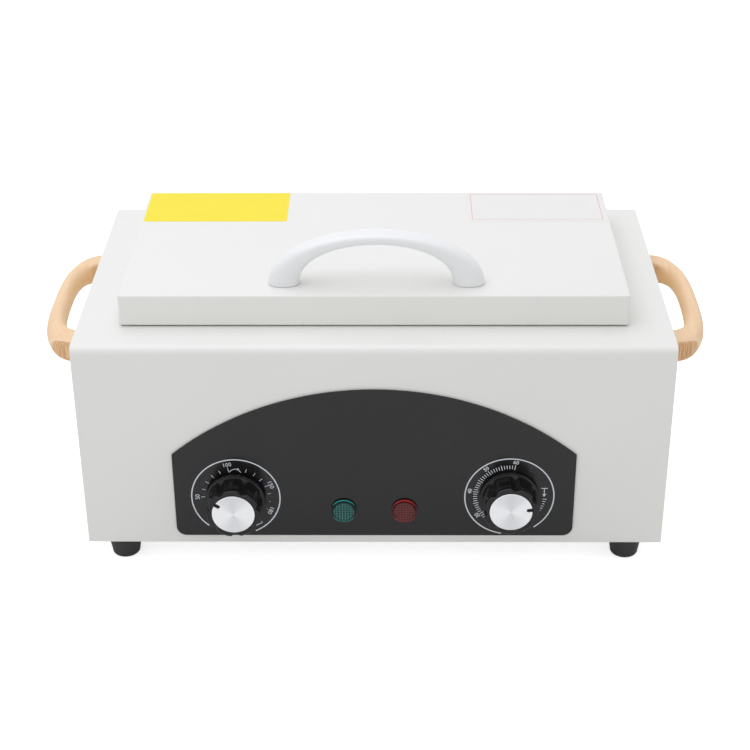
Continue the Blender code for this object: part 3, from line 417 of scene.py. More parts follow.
plate = prism("z", [(x * 173.7, y) for x, y in ((-1, 2.6), (1, 2.6), (1, 197.4), (-1, 197.4))], 1.3, 2.3)
slots = [prism("z", rounded((30 * i, y), 5, 32, 2.49, 6), -2, 4) for i in range(-3, 4) for y in (70, 130)]
slots += [prism("z", arc(spot, 3.8, 0, 345, 23), -2, 4) for spot in FOOT_PLACES.values()]
piece("vented_plate", edged(cut(plate, *slots), 0.15), zinc, "housing", ["base_plate"], smooth=30)
coat(zinc, "heater_bracket_left", "heater_bracket_right")

# Feet
# Four moulded rubber feet. Each tapers to a rounded sole and is pulled up
# through the lip and the base plate by its own barbed stem.
rubber = Finish("black_rubber", IOR=1.45)
dust = rubber.noise(160, 4, 0.6)
rubber.set(Base_Color=rubber.blend(dust, (0.016, 0.016, 0.017), (0.034, 0.034, 0.036)), Roughness=0.44 + 0.22 * dust)
rubber.bump(rubber.noise(2200), 0.00003, 0.5)
for spot, (x, y) in FOOT_PLACES.items():
    profile = [(0, 7.2), (2.3, 7.2), (5.2, 2.9), (3.5, 2.6), (3.5, -0.3), (10.1, -0.3), (10.5, -0.5), (10.7, -1.1),
               (10.6, -1.9), (9.5, -8.0), (8.65, -13.2)]
    profile += [(6.6 + 1.95 * math.cos(a), -14.1 - 1.9 * math.sin(a)) for a in [math.radians(v) for v in (10, 30, 50, 70, 90)]]
    profile += [(4.2, -16), (3.9, -15), (0, -15)]
    piece(f"rubber_foot_{spot}", turned("foot", profile, 56), rubber, "housing", [f"foot_{spot}"],
          Matrix.Translation((x, y, 0)), 28)

# Chamber
# A pan drawn from stainless sheet, with a narrow rim that lies on the cover and
# a generous radius round its floor. Its walls keep a fine satin grain.
stainless = Finish("satin_stainless", Metallic=1.0)
grain = stainless.noise(900, 3, 0.6, (0.02, 1, 1))
cloud = stainless.noise(30, 2)
stainless.set(Base_Color=stainless.blend(cloud, (0.58, 0.58, 0.575), (0.68, 0.68, 0.67)), Roughness=0.24 + 0.10 * grain + 0.06 * cloud)
stainless.bump(grain, 0.00002, 0.5)


def double_skin(name, front, back):
    """Pressed sheet: a skin of rings out to a flat middle, and a second one behind it, joined at their rims."""
    rings = front + back
    count, points, faces = len(rings[0]), [p for ring in rings for p in ring], []
    for i in range(len(rings)):
        if i != len(front) - 1:
            near, far = i * count, (i + 1) % len(rings) * count
            faces += [(near + j, near + (j + 1) % count, far + (j + 1) % count, far + j) for j in range(count)]
    middle = (len(front) - 1) * count
    faces += [tuple(range(middle, middle + count)), tuple(range(middle + count, middle + 2 * count))[::-1]]
    return mesh_of(name, points, faces)


def bend(start, end, steps):
    return [math.radians(start + (end - start) * i / steps) for i in range(steps + 1)]


def drawn_pan(name, centre, size, corner, floor, top, rim, radius, wall=1.0):
    """A drawn pan: a rim that turns down into straight walls, then a round bend into the floor."""
    def ring(grow, height):
        return [(x, y, height) for x, y in rounded(centre, size[0] + 2 * grow, size[1] + 2 * grow, max(corner + grow, 0.4), 8)]
    lip, wide = 1.2, radius + wall
    inside = [(rim, top)] + [(lip - lip * math.sin(a), top - lip + lip * math.cos(a)) for a in bend(0, 90, 5)]
    inside += [(radius * (math.cos(a) - 1), floor + radius * (1 - math.sin(a))) for a in bend(0, 90, 8)]
    outside = [(wall - wide + wide * math.cos(a), floor + radius - wide * math.sin(a)) for a in bend(90, 0, 8)]
    outside += [(wall, top - wall), (rim, top - wall)]
    return double_skin(name, [ring(*place) for place in inside], [ring(*place) for place in outside])


pan = drawn_pan("chamber", (0, CHAMBER_Y), (268, 128), 10, 78.3, 136.3, 9, 5)
piece("drawn_chamber", pan, stainless, "housing", ["inner_chamber"], smooth=40)

# Chamber jacket and lid wool
# Blocks of pressed mineral wool, yellow-brown and fibrous.
wool = Finish("mineral_wool", Roughness=0.95)
strands = wool.noise(700, 5, 0.7, (1, 1, 0.25))
wool.set(Base_Color=wool.blend(strands, (0.40, 0.35, 0.20), (0.72, 0.67, 0.48)))
wool.bump(strands, 0.0006, 0.8)
coat(wool, "chamber_insulation", "lid_insulation")

# Heater
# A sheathed tubular element bent into four runs, oxidised dark, with a ceramic
# bead and a stud at each end.
sheath = Finish("heater_sheath", Metallic=0.9)
heat = sheath.noise(60, 3, 0.6, (0.3, 1, 1))
sheath.set(Base_Color=sheath.blend(heat, (0.10, 0.09, 0.085), (0.26, 0.22, 0.18)), Roughness=0.38 + 0.25 * heat)
ceramic = Finish("fired_ceramic", Roughness=0.6)
ceramic.set(Base_Color=ceramic.blend(ceramic.noise(300), (0.74, 0.70, 0.61), (0.84, 0.81, 0.74)))
coat(sheath, "heating_element")
coat(ceramic, "heater_terminal_front", "heater_terminal_rear")

# Thermostat, timer and their shafts
# Both controls sit behind the front on a threaded bushing and a nut. The timer
# is clockwork between two plates, with a bell on a post behind it.
steel = Finish("plated_steel", Metallic=1.0)
haze = steel.noise(240, 3)
steel.set(Base_Color=steel.blend(haze, (0.56, 0.56, 0.55), (0.72, 0.72, 0.70)), Roughness=0.22 + 0.16 * haze)
steel.bump(steel.noise(1500), 0.00001, 0.4)
grey = Finish("grey_moulding", Roughness=0.5)
grey.set(Base_Color=grey.blend(grey.noise(400), (0.26, 0.26, 0.265), (0.32, 0.32, 0.325)))
grey.bump(grey.noise(3000), 0.00002, 0.5)
copper = Finish("drawn_copper", Metallic=1.0)
tarnish = copper.noise(200, 4)
copper.set(Base_Color=copper.blend(tarnish, (0.62, 0.28, 0.15), (0.85, 0.48, 0.32)), Roughness=0.25 + 0.2 * tarnish)
coat(steel, "timer_body", "timer_nut", "thermostat_nut", "timer_shaft", "thermostat_shaft")
coat(stainless, "timer_bell")
coat(grey, "thermostat_body")
coat(copper, "thermostat_bulb", "thermostat_capillary")
coat(steel, *[f"handle_screw_{side}_{row}" for side in ("left", "right") for row in ("front", "rear")])
coat(steel, "lid_handle_screw_left", "lid_handle_screw_right")

# Instrument tray
# A shallow stainless tray with a turned-out lip. Its floor is punched with
# staggered rows of round holes.


class Pattern(Plan):
    """A geometry node tree that repeats a small shape, with named inputs for its sizes."""

    def __init__(self, name, **sizes):
        super().__init__(bpy.data.node_groups.new(name, "GeometryNodeTree"))
        kinds = {int: "NodeSocketInt", float: "NodeSocketFloat", tuple: "NodeSocketVector"}
        self.sizes, self.keys = sizes, {}
        for key, value in sizes.items():
            socket = self.tree.interface.new_socket(key, in_out="INPUT", socket_type=kinds[type(value)])
            self.keys[key] = socket.identifier
        self.tree.interface.new_socket("Geometry", in_out="OUTPUT", socket_type="NodeSocketGeometry")
        self.start = self.tree.nodes.new("NodeGroupInput")

    def size(self, key):
        return Wire(self, self.start.outputs[key])

    def mesh(self, shape, finish=None):
        """Ends the tree in real geometry of one finish, and returns it as a plain mesh."""
        shape = self.node("GeometryNodeRealizeInstances", {}, {"Geometry": shape})
        if finish is not None:
            shape = self.node("GeometryNodeSetMaterial", {}, {"Geometry": shape, "Material": finish.material})
        end = self.tree.nodes.new("NodeGroupOutput")
        self.tree.links.new(shape.socket, end.inputs["Geometry"])
        helper = carried(bpy.data.meshes.new("pattern"))
        change = helper.modifiers.new("pattern", "NODES")
        change.node_group = self.tree
        for key, value in self.sizes.items():
            change[self.keys[key]] = value
        return applied(helper)


def staggered_punches(along, across, pitch_along, pitch_across, radius):
    """Round punches in rows, every second row shifted by half a pitch."""
    punch = Pattern("tray_punches", along=along, across=across, pitch_along=pitch_along, pitch_across=pitch_across, radius=radius)
    index = punch.node("GeometryNodeInputIndex")
    count = punch.size("along") * punch.size("across")
    row = punch.node("ShaderNodeMath", {"operation": "FLOOR"}, {0: index / punch.size("along")})
    place = index - row * punch.size("along")
    odd = punch.node("ShaderNodeMath", {"operation": "MODULO"}, {0: row, 1: 2.0})
    x = (place - (punch.size("along") - 1) * 0.5 + odd * 0.5) * punch.size("pitch_along")
    y = (row - (punch.size("across") - 1) * 0.5) * punch.size("pitch_across")
    spot = punch.node("ShaderNodeCombineXYZ", {}, {"X": x, "Y": y})
    points = punch.node("GeometryNodePoints", {}, {"Count": count, "Position": spot})
    kept = (odd * place) < (punch.size("along") - 1.5)
    points = punch.node("GeometryNodeSeparateGeometry", {"domain": "POINT"}, {"Geometry": points, "Selection": kept})
    tool = punch.node("GeometryNodeMeshCylinder", {}, {"Vertices": 24, "Radius": punch.size("radius"), "Depth": 6.0})
    return punch.mesh(punch.node("GeometryNodeInstanceOnPoints", {}, {"Points": points, "Instance": tool}))


tray = drawn_pan("tray", (0, 0), (246, 110), 7, 1, 22, 5, 3)
tray = cut(tray, staggered_punches(9, 4, 208 / 8, 78 / 3, 3.8))
piece("punched_tray", tray, stainless, "tray", ["instrument_tray"], Matrix.Translation((0, CHAMBER_Y, 78.6)), 40)

# Lid
# A folded and corner-welded steel box in the same white coat, over a stainless
# liner whose shallow plug drops into the chamber's mouth.
LID_X, LID_FRONT, LID_REAR, LID_LOW, LID_TOP = 149.5, 27, 181.3, 136, 154.9
LID_Y = (LID_FRONT + LID_REAR) / 2


def lid_ring(inset, height, corner=1.2):
    outline = rounded((0, LID_Y), 2 * (LID_X - inset), LID_REAR - LID_FRONT - 2 * inset, max(corner - inset, 0.3), 6)
    return [(x, y, height) for x, y in outline]


EDGE = 0.7
rings = [lid_ring(0.2, LID_LOW), lid_ring(0, LID_LOW + 0.2), lid_ring(0, LID_TOP - EDGE)]
rings += [lid_ring(EDGE * (1 - math.cos(a)), LID_TOP - EDGE * (1 - math.sin(a))) for a in bend(15, 90, 5)]
shell = loft("lid", rings)
reliefs = []
for across, along in ((-1, -1), (1, -1), (-1, 1), (1, 1)):
    relief = turned("relief", [(0, -5), (0.7, -5), (0.7, 5), (0, 5)], 24)
    lean = Vector((0, 0, 1)).rotation_difference(Vector((across, along, 0))).to_matrix().to_4x4()
    relief.transform(Matrix.Translation((across * LID_X, LID_Y + along * (LID_REAR - LID_Y), LID_LOW)) @ lean)
    reliefs.append(relief)
shell = cut(shell, loft("hollow", [lid_ring(1, LID_LOW - 4), lid_ring(1, LID_TOP - 1)]), *reliefs)
piece("lid_box", shell, white_paint, "lid", ["lid_shell"], smooth=30)


def liner_ring(grow, height):
    """A ring of the liner's outer wall."""
    outline = rounded((0, LID_Y), 2 * (LID_X - 1.3 + grow), LID_REAR - LID_FRONT - 2.6 + 2 * grow, 1.2 + max(grow, -0.8), 8)
    return [(x, y, height) for x, y in outline]


def plug_ring(grow, height):
    """A ring of the shallow plug in the liner's middle."""
    return [(x, y, height) for x, y in rounded((0, CHAMBER_Y), 260 + 2 * grow, 120 + 2 * grow, 6 + grow, 8)]


below = [liner_ring(0, 147.6)] + [liner_ring(math.cos(a) - 1, 137.6 - math.sin(a)) for a in bend(0, 90, 5)]
below += [plug_ring(1.2, 136.6)] + [plug_ring(1.2 * (1 - math.sin(a)), 135.4 + 1.2 * math.cos(a)) for a in bend(15, 90, 4)]
below += [plug_ring(1.5 * (math.cos(a) - 1), 133.8 - 1.5 * math.sin(a)) for a in bend(0, 90, 6)]
above = [plug_ring(-1.5, 133.3), plug_ring(-1, 133.8), plug_ring(-1, 137.6), liner_ring(-1, 137.6), liner_ring(-1, 147.6)]
piece("drawn_liner", double_skin("liner", below, above), stainless, "lid", ["lid_liner"], smooth=35)


# Lid labels
# Two film labels are stuck near the lid's rear corners. Both are left blank: one
# is plain yellow, the other white inside a fine red line.
def label_mesh(left, front, wide, deep, low, thick=0.12):
    return prism("z", rounded((left + wide / 2, front + deep / 2), wide, deep, 0.8, 5), low, low + thick)


yellow_film = Finish("yellow_label_film", IOR=1.4)
soft = yellow_film.noise(60, 2)
yellow_film.set(Base_Color=yellow_film.blend(soft, (0.91, 0.735, 0.0), (0.94, 0.78, 0.01)), Roughness=0.26 + 0.1 * soft)
white_film = Finish("white_label_film", IOR=1.47)
soft = white_film.noise(60, 2)
white_film.set(Base_Color=white_film.blend(soft, (0.80, 0.79, 0.775), (0.83, 0.82, 0.805)), Roughness=0.26 + 0.1 * soft)
red_ink = Finish("red_ink", Roughness=0.5)
red_ink.set(Base_Color=red_ink.blend(red_ink.noise(1800), (0.70, 0.26, 0.22), (0.82, 0.42, 0.37)))
piece("yellow_label", label_mesh(-148, 134, 91.5, 46, LID_TOP), yellow_film, "lid")
piece("white_label", label_mesh(59.5, 134, 88.5, 46, LID_TOP), white_film, "lid")
line = [[(x, y, LID_TOP + rise) for x, y in rounded((103.7, 157), 83.5 - 2 * inset, 40.5 - 2 * inset, 0.5, 3)]
        for inset, rise in ((0, 0.12), (0.35, 0.12), (0.35, 0.15), (0, 0.15))]
piece("white_label_line", loft("line", line, True), red_ink, "lid")

# Lid handle
# One bow moulded in white plastic, screwed on from inside the lid. It swells
# into two oval feet, and its surface has a soft sheen.
white_plastic = Finish("white_moulding", IOR=1.5)
white_plastic.set(Base_Color=white_plastic.blend(white_plastic.noise(20), (0.83, 0.838, 0.842), (0.863, 0.868, 0.872)),
                  Roughness=0.26 + 0.08 * white_plastic.noise(60))
white_plastic.bump(white_plastic.noise(900), 0.00001, 0.3)


def signed_power(value, power):
    return math.copysign(abs(value) ** power, value)


def bow(half_span, rise, power, count):
    """Evenly spaced points on half a superellipse."""
    fine = [math.pi * i / (20 * count) for i in range(20 * count + 1)]
    points = [Vector((half_span * signed_power(math.cos(a), 2 / power), rise * abs(math.sin(a)) ** (2 / power))) for a in fine]
    points[-1].y = 0
    travelled = [0]
    for here, after in zip(points, points[1:]):
        travelled.append(travelled[-1] + (after - here).length)
    chosen, index = [], 0
    for i in range(count):
        target = travelled[-1] * i / (count - 1)
        while index < len(points) - 2 and travelled[index + 1] < target:
            index += 1
        along = (target - travelled[index]) / (travelled[index + 1] - travelled[index])
        chosen.append(points[index].lerp(points[index + 1], min(along, 1)))
    return chosen


def arch(name, outer, inner, half_height, power, end_power, turn=0.4, sides=48):
    """A bowed bar between two curves, with a rounded section that changes its power from a share of its half length on."""
    rings = []
    for k, (out, near) in enumerate(zip(outer, inner)):
        away = max(0, abs(2 * k / (len(outer) - 1) - 1) - turn) / (1 - turn)
        own = power + (end_power - power) * away**2
        ring = []
        for i in range(sides):
            a = 2 * math.pi * (i + 0.5) / sides
            share = 0.5 + 0.5 * signed_power(math.cos(a), 2 / own)
            ring.append((*near.lerp(out, share), half_height * signed_power(math.sin(a), 2 / own)))
        rings.append(ring)
    return loft(name, rings)


handle = arch("handle", bow(64, 32.9, 2.0, 81), bow(45.3, 25.8, 2.08, 81), 7, 2.8, 2.15)
upright_handle = Matrix.Translation((1.5, 45, LID_TOP + 0.3)) @ Matrix.Rotation(math.pi / 2, 4, "X")
piece("moulded_lid_handle", handle, white_plastic, "lid", ["lid_handle"], upright_handle, 50)

# Wooden handles
# Each is sawn from a flat beech board, so the grain runs the same way through
# the whole bow and shows as dark end grain on the front and rear of the curve.
beech = Finish("oiled_beech", IOR=1.46)
rings_of_growth = beech.noise(520, 4, 0.6, (1.0, 0.03, 0.10))
bands = beech.noise(120, 2, 0.5, (1.0, 0.05, 0.2))
pores = beech.noise(1700, 3, 0.6, (1.0, 0.06, 0.3))
streaks = beech.noise(1300, 3, 0.65, (1.0, 1.0, 0.07))
normal = beech.node("ShaderNodeNewGeometry", output="Normal")
facing, upwards = (beech.node("ShaderNodeSeparateXYZ", {}, {0: normal}, axis) for axis in "YZ")
facing = beech.node("ShaderNodeMath", {"operation": "ABSOLUTE"}, {0: facing})
behind = beech.node("ShaderNodeSeparateXYZ", {}, {0: beech.spot}, "Y") * 30
behind = beech.node("ShaderNodeClamp", {}, {"Value": behind})
end_grain = beech.node("ShaderNodeMapRange", {"interpolation_type": "SMOOTHSTEP"},
                       {"Value": facing, "From Min": 0.46, "From Max": behind * 0.4 + 0.66})


def contrast(finish, value, low, high):
    """A value stretched so that low becomes 0 and high 1."""
    return finish.node("ShaderNodeMapRange", {}, {"Value": value, "From Min": low, "From Max": high})


long_grain_and_painted_light = beech.blend(contrast(beech, rings_of_growth, 0.30, 0.70), (0.845, 0.572, 0.342), (0.905, 0.655, 0.418))
long_grain_and_painted_light = beech.blend(bands * 0.4, long_grain_and_painted_light, (0.915, 0.665, 0.43))
# Painted bounce light: faces that turn away from the top are made lighter and warmer.
long_grain_and_painted_light = beech.blend(1 - contrast(beech, upwards, -0.1, 0.75), long_grain_and_painted_light, (0.97, 0.62, 0.30))
long_grain_and_painted_light = beech.blend(contrast(beech, pores, 0.60, 0.70) * 0.30, long_grain_and_painted_light, (0.62, 0.35, 0.16))
cut_wood = beech.blend(contrast(beech, streaks, 0.36, 0.62), (0.46, 0.20, 0.065), (0.88, 0.58, 0.32))
cut_wood = beech.blend(contrast(beech, rings_of_growth, 0.3, 0.7) * 0.25, cut_wood, (0.85, 0.54, 0.29))
# Painted highlight: a light band along the edge between the long-grain faces and the end grain, fading out towards the
# rear.
painted_crease_highlight = contrast(beech, facing, 0.36, 0.46) - contrast(beech, facing, 0.46, 0.56)
long_grain_and_painted_light = beech.blend(painted_crease_highlight * (1 - behind) * 0.6, long_grain_and_painted_light, (0.97, 0.82, 0.66))
beech.set(Base_Color=beech.blend(end_grain * 0.85, long_grain_and_painted_light, cut_wood), Roughness=0.34 + 0.22 * pores)
beech.bump(pores + streaks, 0.00006, 0.35)
for side, name in ((-1, "left"), (1, "right")):
    outside = [Vector((point.x - side * 0.6, point.y)) for point in bow(62.6, 28.5, 3.0, 97)]
    inside = [Vector((point.x - side * 2.3, point.y * (1 - 0.05 * side * point.x / 47))) for point in bow(47, 17.9, 2.8, 97)]
    handle = arch("handle", outside, inside, 7.4, 2.1, 9, 0.6, 64)
    place = Matrix.Translation((side * (WIDTH / 2 + 0.3), 101.4, 110.7)) @ Matrix.Rotation(-side * math.pi / 2, 4, "Z")
    piece(f"beech_handle_{name}", handle, beech, "housing", [f"wooden_handle_{name}"], place, 50)

# Front panel
# A plate with a matt charcoal film, bonded to the cover. The dial rings and
# scales are printed on it in silver.
film = Finish("charcoal_film", IOR=1.45)
fine = film.noise(2600, 2)
film.set(Base_Color=film.blend(film.noise(25), (0.0075, 0.0075, 0.0078), (0.0105, 0.0105, 0.0108)), Roughness=0.17 + 0.06 * fine)
film.bump(fine, 0.000004, 0.4)
PANEL_HALF, PANEL_LOW, PANEL_CROWN, PANEL_RISE, PANEL_CORNER = 120.3, 6.3, 108, 44.3, 6
radius = (PANEL_HALF**2 + PANEL_RISE**2) / (2 * PANEL_RISE)
spread = math.degrees(math.asin(PANEL_HALF / radius))
outline = arc((0, PANEL_CROWN - radius), radius, 90 - spread, 90 + spread, 96)
for side, start in ((-1, 180), (1, 270)):
    corner = (side * (PANEL_HALF - PANEL_CORNER), PANEL_LOW + PANEL_CORNER)
    outline += arc(corner, PANEL_CORNER, start, start + 90, 12)
holes = [prism("y", arc(spot, size, 0, 348.75, 31), -4, 4) for spot, size in PANEL_HOLES]
panel = edged(cut(prism("y", outline, -1.3, -0.3), *holes), 0.2, 2, 30)
piece("front_panel", panel, film, "housing", ["control_panel"], smooth=20)

# Dial print
# Silver ink: an open ring round each knob, a tick every ten degrees from 50 to
# 180 on the left, and one a minute from 28 to 60 on the right.
silver = Finish("silver_ink", Roughness=0.5)
silver.set(Base_Color=silver.blend(silver.noise(900), (0.70, 0.72, 0.77), (0.80, 0.82, 0.87)))
INK_LOW, INK_TOP = 0.02, 0.06


def on_panel(x, z, lift=0.0):
    """The frame of something that lies on the panel's face: X to the right, Y up, Z out of it."""
    return Matrix.Translation((x, -1.3 - lift, z)) @ Matrix.Rotation(math.pi / 2, 4, "X")


def inked(outline):
    """A printed patch."""
    return prism("z", outline, INK_LOW, INK_TOP)


def ribbon(line, width):
    """A printed line of a width through a list of points, with square ends."""
    edges = [[], []]
    for i, (x, y) in enumerate(line):
        before, after = line[max(i - 1, 0)], line[min(i + 1, len(line) - 1)]
        along = Vector((after[0] - before[0], after[1] - before[1])).normalized() * width / 2
        edges[0].append((x - along.y, y + along.x))
        edges[1].append((x + along.y, y - along.x))
    count = len(line)
    points = [(x, y, h) for h in (INK_LOW, INK_TOP) for x, y in edges[0] + edges[1][::-1]]
    outline = 2 * count
    faces = [(i, (i + 1) % outline, outline + (i + 1) % outline, outline + i) for i in range(outline)]
    faces += [(base + i, base + i + 1, base + outline - 2 - i, base + outline - 1 - i)
              for base in (0, outline) for i in range(count - 1)]
    return mesh_of("ribbon", points, faces)


for dial, centre, reach, start, end in (("temperature", (-83.3, 33.8), 26.6, -65.3, 229.9),
                                        ("timer", (81.3, 34.4), 26.75, -54.9, 261.1)):
    piece(f"{dial}_ring", ribbon(arc((0, 0), reach, start, end, 140), 0.72), silver, "housing",
          place=on_panel(*centre), smooth=30)


def minute_ticks(count, first, step, reach, short, long, every, width):
    """Ticks round a dial from an angle, in degrees, with every so many longer than the rest."""
    dial = Pattern("minute_ticks", count=count, first=math.radians(first), step=math.radians(step), reach=reach,
                   short=short, extra=long - short, every=every, width=width)
    index = dial.node("GeometryNodeInputIndex")
    angle = dial.size("first") + index * dial.size("step")
    rest = dial.node("ShaderNodeMath", {"operation": "MODULO"}, {0: index, 1: dial.size("every")})
    length = dial.size("short") + (rest < 0.5) * dial.size("extra")
    across = dial.node("ShaderNodeMath", {"operation": "COSINE"}, {0: angle}) * dial.size("reach")
    along = dial.node("ShaderNodeMath", {"operation": "SINE"}, {0: angle}) * dial.size("reach")
    spot = dial.node("ShaderNodeCombineXYZ", {}, {"X": across, "Y": along, "Z": (INK_LOW + INK_TOP) / 2})
    points = dial.node("GeometryNodePoints", {}, {"Count": dial.size("count"), "Position": spot})
    stroke = dial.node("GeometryNodeMeshCube", {}, {"Size": (1, 1, INK_TOP - INK_LOW)})
    turn = dial.node("ShaderNodeCombineXYZ", {}, {"Z": angle})
    scale = dial.node("ShaderNodeCombineXYZ", {}, {"X": length, "Y": dial.size("width"), "Z": 1.0})
    made = dial.node("GeometryNodeInstanceOnPoints", {}, {"Points": points, "Instance": stroke, "Rotation": turn, "Scale": scale})
    return dial.mesh(made, silver)


def joined(*meshes):
    """One mesh from several."""
    work = bmesh.new()
    for mesh in meshes:
        work.from_mesh(mesh)
    mesh = bpy.data.meshes.new("joined")
    work.to_mesh(mesh)
    work.free()
    return mesh


def on_circle(reach, degrees):
    return (reach * math.cos(math.radians(degrees)), reach * math.sin(math.radians(degrees)))


def number(text, size, weight, reach, degrees):
    """A printed number at an angle, with its top away from the dial's middle and its strokes made bolder by a weight."""
    curve = bpy.data.curves.new("number", "FONT")
    curve.body, curve.size, curve.extrude, curve.offset = text, size, (INK_TOP - INK_LOW) / 2, weight
    curve.align_x, curve.align_y, curve.resolution_u = "CENTER", "CENTER", 4
    mesh = applied(carried(curve))
    spot = Matrix.Translation((*on_circle(reach, degrees), (INK_LOW + INK_TOP) / 2))
    mesh.transform(spot @ Matrix.Rotation(math.radians(degrees - 90), 4, "Z"))
    return mesh


def heat_angle(degrees):
    return 180 - 1.577 * (degrees - 50)


odd_ticks = {100: (17.9, 21.1), 110: None, 150: (19.1, 21.5), 160: (19.4, 21.3), 170: (20.5, 21.0), 180: (20.5, 21.0)}
print_ = []
for heat in range(50, 190, 10):
    span = odd_ticks.get(heat, (18.5, 20.9))
    if span:
        print_.append(ribbon([on_circle(reach, heat_angle(heat)) for reach in span], 0.34))
print_ += [number(str(heat), 3.75, 0.0, 22.95, heat_angle(heat)) for heat in (50, 100, 150, 180)]
bracket = [(-3.26, 17.62), (-2.09, 18.77), (-0.74, 19.52), (0.57, 19.75), (1.87, 19.57), (2.94, 18.42), (3.71, 17.32)]
arrowhead = [(1.3, 18.8), (2.9, 19.3), (1.9, 20.7)]
off_sign = [(11.55, -20.69), (13.03, -19.68), (14.19, -19.31), (15.56, -18.17), (14.44, -17.71)]
print_ += [ribbon(bracket, 0.45), inked(arrowhead), ribbon(off_sign, 0.4)]
piece("temperature_scale", joined(*print_), silver, "housing", place=on_panel(*DIALS["temperature"]), smooth=30)

MINUTE = 4.45
print_ = [minute_ticks(33, 82.2, MINUTE, 20.6, 2.4, 3.3, 5, 0.45)]
print_ += [number(str(minute), 3.5, 0.035, 23.3 if minute == 30 else 24.0, 82.2 + MINUTE * (60 - minute)) for minute in (30, 40, 50, 60)]
print_ += [ribbon([(19.0, 5.7), (22.8, 5.7)], 0.5), ribbon([(20.8, 5.5), (20.9, 1.7)], 0.5)]
print_.append(inked([(19.85, 1.68), (20.7, -0.42), (22.18, 1.68)]))
for k, (near, far) in enumerate(((20.2, 22.7), (20.4, 22.1), (20.5, 21.9), (20.4, 21.9), (20.6, 21.9), (21.3, 21.8))):
    print_.append(ribbon([on_circle(reach, -5.5 - 4.5 * k) for reach in (near, far)], 0.42))
piece("timer_scale", joined(*print_), silver, "housing", place=on_panel(*DIALS["timer"]), smooth=30)

# Knobs
# Glossy black mouldings with a round skirt and seven broad lobes, each parted
# by a round flute. The aluminium cap is pressed into the face.
gloss = Finish("gloss_black_moulding", IOR=1.42)
swirl = gloss.noise(45, 2)
gloss.set(Base_Color=gloss.blend(swirl, (0.004, 0.004, 0.0045), (0.009, 0.009, 0.0095)), Roughness=0.13 + 0.10 * swirl)
gloss.bump(gloss.noise(500), 0.00001, 0.2)
LOBES, FLUTE_DEPTH, FLUTE_SHARE = 7, 2.0, 0.46


def flute(angle):
    """How deep the flute is at an angle, from 0 on a lobe to 1 in the middle of a flute."""
    away = abs((angle * LOBES / (2 * math.pi)) % 1 - 0.5) * 2 / FLUTE_SHARE
    return (0.5 + 0.5 * math.cos(math.pi * away)) ** 0.8 if away < 1 else 0


def knob_mesh():
    sides = LOBES * 32
    profile = [(17.0, 0, 0.0), (17.65, 0, 0.02), (17.8, 0, 0.2), (17.8, 0, 1.8), (17.74, 0, 1.94), (17.6, 0, 2.0),
               (16.95, 0, 2.03), (16.55, 0.02, 2.12), (16.38, 0.1, 2.4), (16.3, 0.3, 3.1), (16.26, 0.58, 4.2),
               (16.25, 0.82, 5.6), (16.24, 0.96, 7.4), (16.22, 1, 9.0), (16.2, 1, 15.2), (16.15, 1, 15.8), (16.02, 1, 16.2), (15.8, 1, 16.46), (15.45, 1, 16.6),
               (14.3, 0.45, 16.6), (13.3, 0, 16.6), (13.12, 0, 16.55), (13.05, 0, 16.4), (13.05, 0, 15.15), (6, 0, 15.15)]
    rings = []
    for reach, deep, height in profile:
        ring = [2 * math.pi * j / sides for j in range(sides)]
        rings.append([((reach - FLUTE_DEPTH * deep * flute(a)) * math.cos(a),
                       (reach - FLUTE_DEPTH * deep * flute(a)) * math.sin(a), height) for a in ring])
    return loft("knob", rings)


def mapped(mesh, turn=0.0):
    """The mesh with its own X and Y, turned by an angle, kept as a UV map in millimetres."""
    turned_by = Matrix.Rotation(math.radians(turn), 3, "Z")
    layer = mesh.uv_layers.new(name="flat")
    for loop in mesh.loops:
        layer.data[loop.index].uv = (turned_by @ mesh.vertices[loop.vertex_index].co)[:2]
    return mesh


spun = Finish("spun_aluminium", Metallic=1.0)
flat = spun.node("ShaderNodeUVMap", {"uv_map": "flat"})
u, v = (spun.node("ShaderNodeSeparateXYZ", {}, {0: flat}, axis) for axis in "XY")
around = spun.node("ShaderNodeMath", {"operation": "ARCTAN2"}, {0: v, 1: u})
reach = spun.node("ShaderNodeMath", {"operation": "SQRT"}, {0: u * u + v * v})
# Painted highlight: the base colour is lighter in wedges to the left and right of the cap and darker above and below
# it, standing in for the reflection on the spun surface. The map is turned with the notch, so the wedges stay square to
# the panel.
painted_highlight_wedges = spun.node("ShaderNodeMath", {"operation": "COSINE"}, {0: around * 2 - 0.12}) * 0.75 + 0.6
painted_highlight_wedges = painted_highlight_wedges * 0.8 + spun.node("ShaderNodeTexNoise", {}, {
    "Vector": spun.node("ShaderNodeCombineXYZ", {}, {"X": spun.node("ShaderNodeMath", {"operation": "COSINE"}, {0: around}),
                                                     "Y": spun.node("ShaderNodeMath", {"operation": "SINE"}, {0: around})}),
    "Scale": 4.0, "Detail": 4.0}) * 0.5 - 0.15
turning = spun.node("ShaderNodeTexNoise", {}, {
    "Vector": spun.node("ShaderNodeCombineXYZ", {}, {"X": reach}), "Scale": 5.0, "Detail": 3.0})
spun.set(Base_Color=spun.blend(painted_highlight_wedges, (0.70, 0.70, 0.712), (0.87, 0.87, 0.875)), Roughness=0.20 + 0.14 * turning)
spun.bump(turning, 0.00002, 0.6)


def cap_mesh(angle):
    profile = [(0, 0), (12.6, 0), (12.75, 0.12), (12.75, 1.1), (12.69, 1.27), (12.55, 1.37), (12.35, 1.4), (12.15, 1.36), (0, 1.36)]
    notch = [(13.4, -1.2), (13.4, 1.2)] + arc((10.4, 0), 1.2, 90, 270, 12)
    return mapped(cut(turned("cap", profile, 128), prism("z", notch, -3, 3)), angle)


